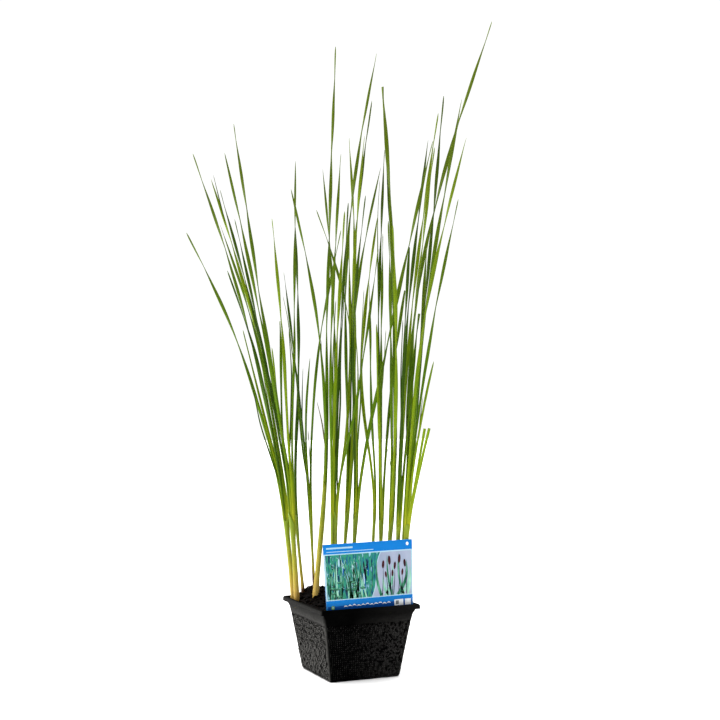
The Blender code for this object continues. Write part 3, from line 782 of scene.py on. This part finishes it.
basket = {
    "rimHalf": 57.8, "rimHeight": 79.5, "skirtDrop": 5.2,
    "shoulderHalf": 51.6, "shoulderHeight": 66.0,
    "footHalf": 41.2, "footEdge": 1.6, "wall": 1.3,
    "cornerRadius": 3.5, "cornerAt": 44.0,  # how round the corners are, at this half width
    "rimRadius": 0.8, "sideColumns": 9, "cornerSteps": 5,
    "flare": [(51.6, 64.5), (52.5, 69.0), (53.6, 73.0), (54.8, 76.0)],  # half width at a height
    "netFrom": 3.0, "netTo": 61.0, "plainCorner": 4.5,
    "netPitch": 2.3,      # mm between strands: real ones lie 1.5 mm apart, too fine to show
    "uprightWide": 1.7, "levelWide": 1.0, "strandDeep": 0.8,
    "backing": 1.1,       # mm from the face of the net to the wall behind its holes
    "ribPitch": 15.0, "ribWide": 2.1, "ribDeep": 2.6, "ribTop": 36.0, "ribRun": 36.0,
    "ribSpan": 46.0,      # half width of a panel where the ribs lie
    "slotPitch": 13, "slotHalf": 1.2, "slotFrom": 6, "slotTo": 28,  # drain slots in the underside
}


def basketHalf(z):
    return basket["footHalf"] + (basket["shoulderHalf"] - basket["footHalf"]) * z / basket["shoulderHeight"]


def squareRing(half, inset, radius):
    # a rounded square with extra points along each side; inset is where the plain corner ends
    steps, columns = basket["cornerSteps"], basket["sideColumns"]
    points = []
    for quarter in range(4):
        turnQuarter = Matrix.Rotation(quarter * math.pi / 2, 2)
        run = half - inset
        for k in range(columns + 1):
            points.append(turnQuarter @ Vector((-run + 2 * run * k / columns, -half)))
        centre = Vector((half - radius, -half + radius))
        for k in range(steps + 1):
            a = -math.pi / 2 + (math.pi / 2) * k / steps
            points.append(turnQuarter @ (centre + Vector((math.cos(a), math.sin(a))) * radius))
    return points


def basketShell():
    b = basket
    lipHalf, lipHeight = b["rimHalf"] - b["wall"], b["rimHeight"] - b["wall"]
    rows = [
        (b["footHalf"] - b["footEdge"], 0.0),
        (b["footHalf"] - b["footEdge"] * 0.3, b["footEdge"] * 0.3),
        (b["footHalf"], b["footEdge"]),
        (basketHalf(b["netFrom"]), b["netFrom"]),
        (basketHalf(b["netTo"]), b["netTo"]),
        *b["flare"],
        (lipHalf - 1.1, lipHeight - 0.5),
        (lipHalf - 0.6, lipHeight),
        (lipHalf - 0.1, lipHeight - 0.4),
        (lipHalf, lipHeight - 1.3),
        (lipHalf, b["rimHeight"] - b["skirtDrop"]),
    ]
    bm = bmesh.new()
    rings = []
    for half, z in rows:
        radius = b["cornerRadius"] * half / b["cornerAt"] if z < b["shoulderHeight"] + 6 else b["rimRadius"]
        ring = squareRing(half, max(b["plainCorner"], radius + 0.2), radius)
        rings.append([bm.verts.new((p.x * mm, p.y * mm, z * mm)) for p in ring])
    count = len(rings[0])
    for (half, z), lower, upper in zip(rows, rings, rings[1:]):
        for k in range(count):
            if z == b["netFrom"] and k % (count // 4) < b["sideColumns"]:
                continue  # the net's place
            n = (k + 1) % count
            bm.faces.new((lower[k], lower[n], upper[n], upper[k]))
    bmesh.ops.remove_doubles(bm, verts=bm.verts, dist=0.00002)
    return thicken(meshObject("basketShell", bm, [moulded["plain"]]), b["wall"])


def addStrand(bm, start, end, out, wide, deep, side, steps, stuff=0):
    # one moulded strand with a rounded outer face, between two points on the basket's wall
    section = [(-0.5, -0.1), (-0.34, 0.26), (0, 0.40), (0.34, 0.26), (0.5, -0.1), (0.5, -1.1), (-0.5, -1.1)]
    rings = []
    for k in range(steps + 1):
        middle = start.lerp(end, k / steps)
        wobble = noise.noise(middle * 700) * 0.25
        proud = noise.noise(middle * 430 + Vector((5, 2, 9))) * 0.4 + noise.noise(middle * 210) * 0.5
        rings.append([
            bm.verts.new(middle + side * (x + wobble) * wide + out * ((y + proud) * deep - 0.1 * mm))
            for x, y in section
        ])
    for lower, upper in zip(rings, rings[1:]):
        for face in joinRings(bm, lower, upper):
            face.material_index = stuff
    bm.faces.new(reversed(rings[0]))
    bm.faces.new(rings[-1])


def basketNet():
    b = basket
    bm = bmesh.new()
    low, high = b["netFrom"] - 0.6, b["netTo"] + 0.6
    slope = math.atan2(b["shoulderHalf"] - b["footHalf"], b["shoulderHeight"])
    for quarter in range(4):
        spin = Matrix.Rotation(quarter * math.pi / 2, 3, "Z")
        out = spin @ Vector((0, -math.cos(slope), -math.sin(slope)))
        level = spin @ Vector((1, 0, 0))
        rise = spin @ Vector((0, -math.sin(slope), math.cos(slope)))

        def onWall(share, z):
            half = basketHalf(z)
            run = half - b["plainCorner"] + 0.8
            return spin @ Vector((share * run * mm, -half * mm, z * mm))

        # the wall that closes the holes behind the net, in the material without painted sheen, so the holes
        # hold painted shade
        behind = -out * b["backing"] * mm
        corners = [onWall(share, z) + behind for share, z in ((-1, low), (1, low), (1, high), (-1, high))]
        bm.faces.new([bm.verts.new(corner) for corner in corners]).material_index = 2

        deep, wide = b["strandDeep"] * mm, b["uprightWide"] * mm
        uprights = round(2 * (basketHalf(35) - b["plainCorner"]) / b["netPitch"])
        for k in range(uprights + 1):
            share = -1 + 2 * k / uprights
            addStrand(bm, onWall(share, low), onWall(share, high), out, wide, deep, level, 28)
        levels = round((high - low) / b["netPitch"])
        for k in range(levels + 1):
            z = low + (high - low) * k / levels
            addStrand(bm, onWall(-1, z), onWall(1, z), out, b["levelWide"] * mm, deep * 0.6, rise, 36)
        # stiffening ribs cross each other low down on the two side panels
        ribs = range(-2, int(2 * b["ribSpan"] / b["ribPitch"]) + 1) if quarter % 2 else ()
        reach = b["ribRun"] / b["ribSpan"]
        for k in ribs:
            for way in (1, -1):
                start = way * (-1 + k * b["ribPitch"] / b["ribSpan"])
                end = start + way * reach
                z0, z1 = b["ribTop"], b["netFrom"]
                inside = [max(0.0, (-1 - way * start) / reach), min(1.0, (1 - way * start) / reach)]
                if inside[0] >= inside[1] - 0.1:
                    continue
                ends = [onWall(start + (end - start) * t, z0 + (z1 - z0) * t) for t in inside]
                side = (ends[1] - ends[0]).normalized().cross(out)
                addStrand(bm, *ends, out, b["ribWide"] * mm, deep * b["ribDeep"], side, 12, 1)
    bmesh.ops.recalc_face_normals(bm, faces=bm.faces)
    return meshObject("basketNet", bm, [moulded["net"], moulded["rib"], moulded["shade"]])


def basketBottom():
    # the underside: a plate with two rows of drain slots
    edge = basket["footHalf"] - 1.5
    xs, ys = {-edge, edge}, {-edge, edge}
    slots = []
    for step in range(-2, 3):
        for front in (-1, 1):
            left, right = (step * basket["slotPitch"] + way * basket["slotHalf"] for way in (-1, 1))
            low, high = sorted((front * basket["slotFrom"], front * basket["slotTo"]))
            slots.append((left, right, low, high))
            xs |= {left, right}
            ys |= {low, high}
    xs, ys = sorted(xs), sorted(ys)
    bm = bmesh.new()
    grid = {(x, y): bm.verts.new((x * mm, y * mm, 0)) for x in xs for y in ys}
    for x0, x1 in zip(xs, xs[1:]):
        for y0, y1 in zip(ys, ys[1:]):
            if any(s[0] <= x0 and x1 <= s[1] and s[2] <= y0 and y1 <= s[3] for s in slots):
                continue
            bm.faces.new((grid[x0, y0], grid[x0, y1], grid[x1, y1], grid[x1, y0]))
    return thicken(meshObject("basketBottom", bm, [moulded["plain"]], smooth=False), basket["wall"])


for piece in (basketShell(), basketNet(), basketBottom()):
    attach(piece, "root")
    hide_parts("basket")
print("basket made")


# soil: the solid block made crumbly

soil = {
    "voxel": 1.1,        # mm
    "topFrom": 70.0,     # mm above the floor at which the top begins, and over which it blends in
    "topOver": 5.0,
    "crumbRise": 1.3,
    "sideRise": 0.35,
    "level": 74.8,       # height of the soil away from its mounds
    # each mound: its middle, how far it spreads and how high it is
    "mound": (-12, 22, 24, 13),
    "heap": (-27, 50, 11, 10),  # where the roots push it up
    "looseCrumbs": 420,
    "crumbSize": (0.7, 2.3),
    "lumps": (0.85, 1.6),    # share of crumbs that aren't lumps, and how much larger a lump is
    "underLabel": (-43, 1.2),  # the label hangs in front of this line, where crumbs are no larger
}


def heaped(x, y, heap):
    middleX, middleY, spread, height = heap
    return height * math.exp(-((x - middleX) ** 2 + (y - middleY) ** 2) / (2 * spread ** 2))


def crumblySoil():
    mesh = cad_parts["soil"].data.copy()
    ground = bpy.data.objects.new("pottingSoil", mesh)
    bpy.context.scene.collection.objects.link(ground)
    mesh.materials.clear()
    mesh.materials.append(peat)
    remesh = ground.modifiers.new("even", "REMESH")
    remesh.mode = "VOXEL"
    remesh.voxel_size = soil["voxel"] * mm
    applyModifiers(ground)
    mesh = ground.data
    normals = [v.normal.copy() for v in mesh.vertices]
    for v, normal in zip(mesh.vertices, normals):
        top = clamped((v.co.z / mm - soil["topFrom"]) / soil["topOver"])
        rise = soil["sideRise"] + (soil["crumbRise"] - soil["sideRise"]) * top
        coarse = noise.noise(v.co * 190) * 0.9
        middle = noise.noise(v.co * 420 + Vector((3, 1, 2))) * 0.6
        fine = noise.noise(v.co * 900 + Vector((7, 5, 2))) * 0.35
        v.co += normal * ((coarse + middle + fine - 0.25) * rise * mm)
        v.co.z += heaped(v.co.x / mm, v.co.y / mm, soil["heap"]) * top * mm
    mesh.polygons.foreach_set("use_smooth", [True] * len(mesh.polygons))
    return ground


def looseCrumbs():
    rng = random.Random(11)
    bm = bmesh.new()
    for k in range(soil["looseCrumbs"]):
        x, y = rng.uniform(-47, 47), rng.uniform(-49, 47)
        size = rng.uniform(*soil["crumbSize"])
        if rng.random() >= soil["lumps"][0]:
            size *= soil["lumps"][1]
        if y < soil["underLabel"][0]:
            size = min(size, soil["underLabel"][1])
        made = bmesh.ops.create_icosphere(bm, subdivisions=2, radius=size * mm)["verts"]
        seed = Vector((rng.uniform(0, 50), rng.uniform(0, 50), 0))
        squash = Vector((1, rng.uniform(0.6, 1), rng.uniform(0.5, 0.9)))
        ground = soil["level"] + heaped(x, y, soil["mound"]) + heaped(x, y, soil["heap"])
        place = Vector((x * mm, y * mm, (ground + size * 0.25) * mm))
        spin = Matrix.Rotation(rng.uniform(0, 6.28), 3, "Z")
        for v in made:
            lump = 1 + 0.55 * noise.noise(v.co * 700 + seed)
            shaped = Vector((v.co.x * squash.x, v.co.y * squash.y, v.co.z * squash.z)) * lump
            v.co = place + spin @ shaped
    return meshObject("looseCrumbs", bm, [peat])


for piece in (crumblySoil(), looseCrumbs()):
    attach(piece, "root")
    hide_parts("soil")
print("soil made")


# label: a plastic card with a generic design, drawn as thin inlays of ink

card = {
    "left": -51.5, "right": 53.0, "bottom": 76.4, "top": 148.7, "plane": -48.0,
    "thick": 0.7, "corner": 0.8, "stakeHalf": 6.0, "stakePoint": 57.0, "stakeTaper": 8.0,
    "roll": 0.9,            # degrees that it hangs down to the left
    "taper": 3.8,           # mm that its left edge comes in towards the foot
    "inkStep": 0.02,        # mm that each layer of ink stands in front of the one under it
    "headFrom": 61.8,       # the blue band along the top, mm above the card's bottom
    "footFrom": 6.8,        # the two bands along the bottom
    "footTo": 12.6,
    "divide": (66.0, 55.0),  # where the picture changes from water to sky, at its top and its bottom
}

# colours, mm across a patch of the mottle, its stretch and how far its colours spread
inks = {
    "azure": (["#0468b2", "#0672c0"], 50),
    "deep": (["#063a80", "#084a94"], 50),
    "pale": (["#92b7c6", "#a5c4d0"], 33.3),
    "white": (["#d4dadd", "#e2e6e8"], 33.3),
    "water": (["#0b2038", "#1c5f74", "#2f8a68", "#1d5f60", "#7fb4c4"], 5.882, (1.7, 1, 0.45), 0.17),
    "sky": (["#8390a6", "#979fb4", "#86a6b0"], 22.2, (1, 1, 0.6), 0.24),
    "reed": (["#14503a", "#3a7c5e", "#63a086"], 3.846, (1, 1, 0.3), 0.18),
    "mint": (["#5fa58a", "#9ccab6"], 3.846, (1, 1, 0.3)),
    "shade": (["#060f18", "#101c28"], 5),
    "bud": (["#220a10", "#431519"], 3.846, (1, 1, 0.4)),
    "dot": (["#4f8228", "#7a9f33"], 10),
    "grey": (["#5c6164", "#74797c"], 10),
}
inkOrder = list(inks)


def cardCorner(x, z, start):
    # a rounded corner of the card, clockwise from this direction in degrees
    near = card["corner"]
    turns = [math.radians(start - 90 * k / 4) for k in range(5)]
    return [(x + near * math.cos(a), z + near * math.sin(a)) for a in turns]


def cardOutline():
    c = card
    near, s, tip = c["corner"], c["stakeHalf"], c["stakePoint"]
    return [
        *cardCorner(c["left"] + near, c["top"] - near, 180),
        *cardCorner(c["right"] - near, c["top"] - near, 90),
        *cardCorner(c["right"] - near, c["bottom"] + near, 0),
        (s, c["bottom"]), (s, tip + c["stakeTaper"]), (s * 0.3, tip),
        (-s * 0.3, tip), (-s, tip + c["stakeTaper"]), (-s, c["bottom"]),
        *cardCorner(c["left"] + near, c["bottom"] + near, 270),
    ]


def addInk(bm, points, colour, layer):
    # one flat patch of ink; points are mm across and up from the card's lower left corner
    front = card["plane"] - card["thick"] / 2 - card["inkStep"] * layer
    places = [(card["left"] + u, card["bottom"] + v) for u, v in points]
    face = bm.faces.new([bm.verts.new((x * mm, front * mm, z * mm)) for x, z in places])
    face.normal_update()
    if face.normal.y > 0:
        face.normal_flip()
    face.material_index = inkOrder.index(colour)


def oval(u, v, wide, high, lean=0.0, points=18, notch=None):
    made = []
    c, s = math.cos(lean), math.sin(lean)
    for k in range(points):
        a = 2 * math.pi * k / points
        reach = 0.15 if k == notch else 1.0
        x, y = math.cos(a) * wide * reach, math.sin(a) * high * reach
        made.append((u + x * c - y * s, v + x * s + y * c))
    return made


def bladeShape(u0, v0, u1, v1, wide, bow):
    # a leaf drawn from its foot to its tip, bowed to one side
    left, right = [], []
    steps = 9
    length = math.hypot(u1 - u0, v1 - v0)
    nx, ny = (v1 - v0) / length, -(u1 - u0) / length
    for k in range(steps + 1):
        t = k / steps
        push = bow * math.sin(math.pi * t)
        half = wide / 2 * (1 - t ** 2.4) + 0.04
        u, v = u0 + (u1 - u0) * t + nx * push, v0 + (v1 - v0) * t + ny * push
        left.append((u - nx * half, v - ny * half))
        right.append((u + nx * half, v + ny * half))
    return right + left[::-1]


def band(u0, u1, v0, v1):
    return [(u0, v0), (u1, v0), (u1, v1), (u0, v1)]


def clipped(points, u0, u1, v0, v1):
    # keep a drawn shape inside its picture
    return [(max(u0, min(u1, u)), max(v0, min(v1, v))) for u, v in points]


def printWater(bm, left, low, high):
    # upright reflections, arching leaves and floating pads
    rng = random.Random(5)
    for k in range(58):
        u, v = rng.uniform(left + 1, 58), rng.uniform(low + 4, high - 6)
        gleam = oval(u, v, rng.uniform(0.4, 1.0), rng.uniform(2.5, 8.0), rng.uniform(-0.1, 0.1), 8)
        addInk(bm, clipped(gleam, left, 56, low, high), rng.choice(["shade", "deep", "shade", "pale"]), 3)
    for k in range(26):
        u = rng.uniform(left + 2, 52)
        tip = u + rng.uniform(-9, 9)
        top = rng.uniform(high - 18, high)
        blade = bladeShape(u, low, tip, top, rng.uniform(1.1, 2.2), rng.uniform(-2.5, 2.5))
        addInk(bm, clipped(blade, left, 56, low, high), rng.choice(["reed", "reed", "mint"]), 4)
    for k in range(13):
        u, v = rng.uniform(left + 5, 48), rng.uniform(low + 2.5, low + 19)
        wide = rng.uniform(2.6, 4.4) * (1 - 0.02 * (v - low))
        addInk(bm, oval(u, v - 0.5, wide, wide * 0.34, 0, 16), "shade", 5)
        addInk(bm, oval(u, v, wide, wide * 0.32, 0.04, 16, notch=rng.randrange(2, 15)), "reed", 6)
    for k in range(40):
        u, v = rng.uniform(left + 0.5, 50), rng.uniform(low + 6, high - 1)
        addInk(bm, oval(u, v, 0.42, 0.42, 0, 6), "pale", 6)


def printSky(bm, right, low, high):
    # broad leaves fanning up, with round buds on thin stalks
    for u, tip, reach, wide, bow in ((66, 62, 40, 3.2, -3), (71, 80, 34, 3.6, 4), (79, 74, 44, 2.6, -2),
                                     (86, 97, 37, 4.0, 5), (93, 88, 45, 2.8, -3), (98, 101, 30, 3.0, 2),
                                     (75, 69, 24, 3.0, -3), (90, 99, 22, 3.2, 4)):
        blade = bladeShape(u, low, tip, low + reach, wide, bow)
        addInk(bm, clipped(blade, 58, right, low, high), "mint" if reach < 35 else "reed", 3)
    for u, v, size, lean in ((69, 37, 1.9, 0.1), (76.5, 41, 2.2, -0.05), (83, 35, 1.8, 0.12),
                             (88.5, 42, 2.1, 0.08), (95, 37, 1.9, -0.1), (80, 27, 1.6, 0.05),
                             (72, 26, 1.5, -0.1), (92, 27.5, 1.6, 0.1)):
        addInk(bm, bladeShape(u - lean * 20, low, u, low + v - 4, 0.8, 0.6), "shade", 4)
        addInk(bm, oval(u, low + v - 3.5, size * 0.8, size * 2.3, -lean, 16), "bud", 5)


def printCard():
    c = card
    bm = bmesh.new()
    width, height = c["right"] - c["left"], c["top"] - c["bottom"]
    low, high = c["footTo"] + 1.2, c["headFrom"] - 1.2
    left, right = 1.8, width - 1.6
    at, foot = c["divide"]
    footTo = c["footTo"] + 0.2
    for ends, colour in (((0.1, width - 0.1, c["headFrom"], height - 1.6), "azure"),
                         ((1.6, width - 1.6, height - 1.7, height - 0.1), "azure"),
                         ((0.1, width - 0.1, footTo, c["headFrom"]), "pale"),
                         ((0.1, width - 0.1, c["footFrom"], footTo), "azure"),
                         ((1.6, width - 1.6, 0.1, c["footFrom"]), "deep")):
        addInk(bm, band(*ends), colour, 1)
    edge = []
    for k in range(9):
        sway = 1.6 * math.sin(k * 0.8)
        edge.append((foot + (at - foot) * k / 8 + sway, low + (high - low) * k / 8))
    addInk(bm, [(left, low)] + [(u - 0.5, v) for u, v in edge] + [(left, high)], "water", 2)
    addInk(bm, [(u + 0.5, v) for u, v in edge] + [(right, high), (right, low)], "sky", 2)
    printWater(bm, left, low, high)
    printSky(bm, right, low, high)

    # foot: a line of waves, a small round mark, and a blank box
    for k in range(11):
        u = 20 + k * 5.2
        crest = [(u + t * 0.52, 5.2 + 1.7 * math.sin(math.pi * t / 10) + 0.4 * (k % 3)) for t in range(11)]
        trough = [(u2, v2 - 1.0 * math.sin(math.pi * n / 10) - 0.12) for n, (u2, v2) in enumerate(crest)]
        addInk(bm, crest + trough[::-1], "white", 3)
    addInk(bm, oval(7.5, 5.4, 2.1, 2.1, 0, 20), "dot", 3)
    addInk(bm, oval(7.5, 5.4, 1.1, 1.1, 0, 16), "pale", 4)
    addInk(bm, band(81.5, 92.5, 2.2, 8.6), "white", 3)
    addInk(bm, band(94.5, width - 2.6, 2.2, 8.6), "white", 3)
    addInk(bm, band(83.0, 87.0, 3.4, 7.4), "grey", 4)
    # head: two plain pale rules and a drop
    addInk(bm, band(3.5, 34, c["headFrom"] + 5.2, c["headFrom"] + 6.9), "pale", 2)
    addInk(bm, band(3.5, 58, c["headFrom"] + 1.9, c["headFrom"] + 2.6), "pale", 2)
    addInk(bm, oval(width - 6, height - 4.4, 1.6, 1.9, 0, 16), "white", 2)
    laminated = [inkMaterial("labelInk" + name.title(), *inks[name]) for name in inkOrder]
    return meshObject("labelPrint", bm, laminated, smooth=False)


def cardMaterial(name):
    # blue polypropylene sheet, dull on its bare back and edges, scuffed in spots of 4 mm
    material, add, here = startMaterial(name)
    scuff = add("TexNoise", {"Vector": here, "Scale": grain(4.17), "Detail": 3})
    tint = add("ValToRGB", {"Fac": scuff, "stops": [(0.35, "#0b5f9f"), (0.7, "#126aab")]})
    return finishMaterial(material, {"Base Color": tint, "Roughness": 0.42, "IOR": 1.49})


def cardBody():
    bm = bmesh.new()
    front = (card["plane"] - card["thick"] / 2) * mm
    back = (card["plane"] + card["thick"] / 2) * mm
    outline = cardOutline()
    near = [bm.verts.new((x * mm, front, z * mm)) for x, z in outline]
    far = [bm.verts.new((x * mm, back, z * mm)) for x, z in outline]
    bm.faces.new(near)
    bm.faces.new(reversed(far))
    for k in range(len(outline)):
        n = (k + 1) % len(outline)
        bm.faces.new((near[k], far[k], far[n], near[n]))
    bmesh.ops.recalc_face_normals(bm, faces=bm.faces)
    return meshObject("labelCard", bm, [cardMaterial("labelPolypropylene")], smooth=False)


for piece in (cardBody(), printCard()):
    for v in piece.data.vertices:
        inward = (card["right"] - v.co.x / mm) / (card["right"] - card["left"])
        down = min(1.0, (card["top"] - v.co.z / mm) / (card["top"] - card["bottom"]))
        v.co.x += card["taper"] * inward * down * mm
    pivot = Matrix.Translation(Vector((card["right"], card["plane"], card["bottom"])) * mm)
    piece.data.transform(pivot @ Matrix.Rotation(-math.radians(card["roll"]), 4, "Y") @ pivot.inverted())
    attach(piece, "root")
    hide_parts("label")
print("label made")


# floor and light: a high-key studio, lit from above, behind and the left

light = {
    "front": 0.10,      # brightness of the studio in front of the plant, and behind it
    "behind": 1.00,
    "overhead": 2.3,
    "left": 0.7,
    "backdrop": 1.05,   # brightness that the camera sees past the floor
    "softbox": 22,      # watts
}


def addFloor():
    # matt white studio paper: even, without gloss, a little darker every half metre
    material, add, here = startMaterial("whitePaperSweep")
    tone = add("TexNoise", {"Vector": here, "Scale": grain(500), "Detail": 2})
    tint = add("ValToRGB", {"Fac": tone, "stops": [(0.3, "#f8f8f8"), (0.7, "#fcfcfc")]})
    finishMaterial(material, {"Base Color": tint, "Roughness": 1.0, "Specular IOR Level": 0.0})
    bm = bmesh.new()
    bmesh.ops.create_grid(bm, x_segments=8, y_segments=8, size=9)
    floor = meshObject("floor", bm, [material])
    floor.location.z = -0.0002


def addWorld():
    world = bpy.data.worlds.new("studio")
    bpy.context.scene.world = world
    world.use_nodes = True
    tree = world.node_tree
    add = partial(addNode, tree)
    toward = add("TexCoord").outputs["Generated"]

    # three gradients add up, each with its direction, where it starts and ends, and its brightness there
    level = None
    for way, start, end, dim, bright in (
        (away, -0.5, 0.6, light["front"], light["behind"]),
        (-across, 0.1, 1.0, 0.0, light["left"]),
        (Vector((0, 0, 1)), 0.25, 0.9, 0.0, light["overhead"]),
    ):
        dot = add("VectorMath", {"operation": "DOT_PRODUCT", 0: toward, 1: tuple(way)})
        facing = dot.outputs["Value"]
        ends = {"From Min": start, "From Max": end, "To Min": dim, "To Max": bright}
        part = add("MapRange", {"Value": facing, **ends})
        level = part if level is None else add("Math", {"operation": "ADD", 0: level, 1: part})
    shine = tree.nodes["Background"]
    setNode(tree, shine, {"Strength": level, "Color": (1, 1, 1, 1)})
    plain = add("Background", {"Color": (1, 1, 1, 1), "Strength": light["backdrop"]})
    seen = add("LightPath").outputs["Is Camera Ray"]
    mix = add("MixShader", {0: seen, 1: shine, 2: plain})
    setNode(tree, tree.nodes["World Output"], {"Surface": mix})


def addArea(name, place, target, size, power):
    lamp = bpy.data.lights.new(name, "AREA")
    lamp.shape = "RECTANGLE"
    lamp.size, lamp.size_y = size
    lamp.energy = power
    thing = bpy.data.objects.new(name, lamp)
    thing.location = place
    thing.rotation_euler = (target - place).to_track_quat("-Z", "Y").to_euler()
    bpy.context.scene.collection.objects.link(thing)


addFloor()
addWorld()
leftOfPlant = -across * 1.5 + away * 0.2 + Vector((0, 0, 1.0))
addArea("left softbox", leftOfPlant, Vector((0, 0, 0.35)), (0.8, 1.4), light["softbox"])
bpy.context.scene.view_settings.view_transform = "Standard"
print("stage lit")
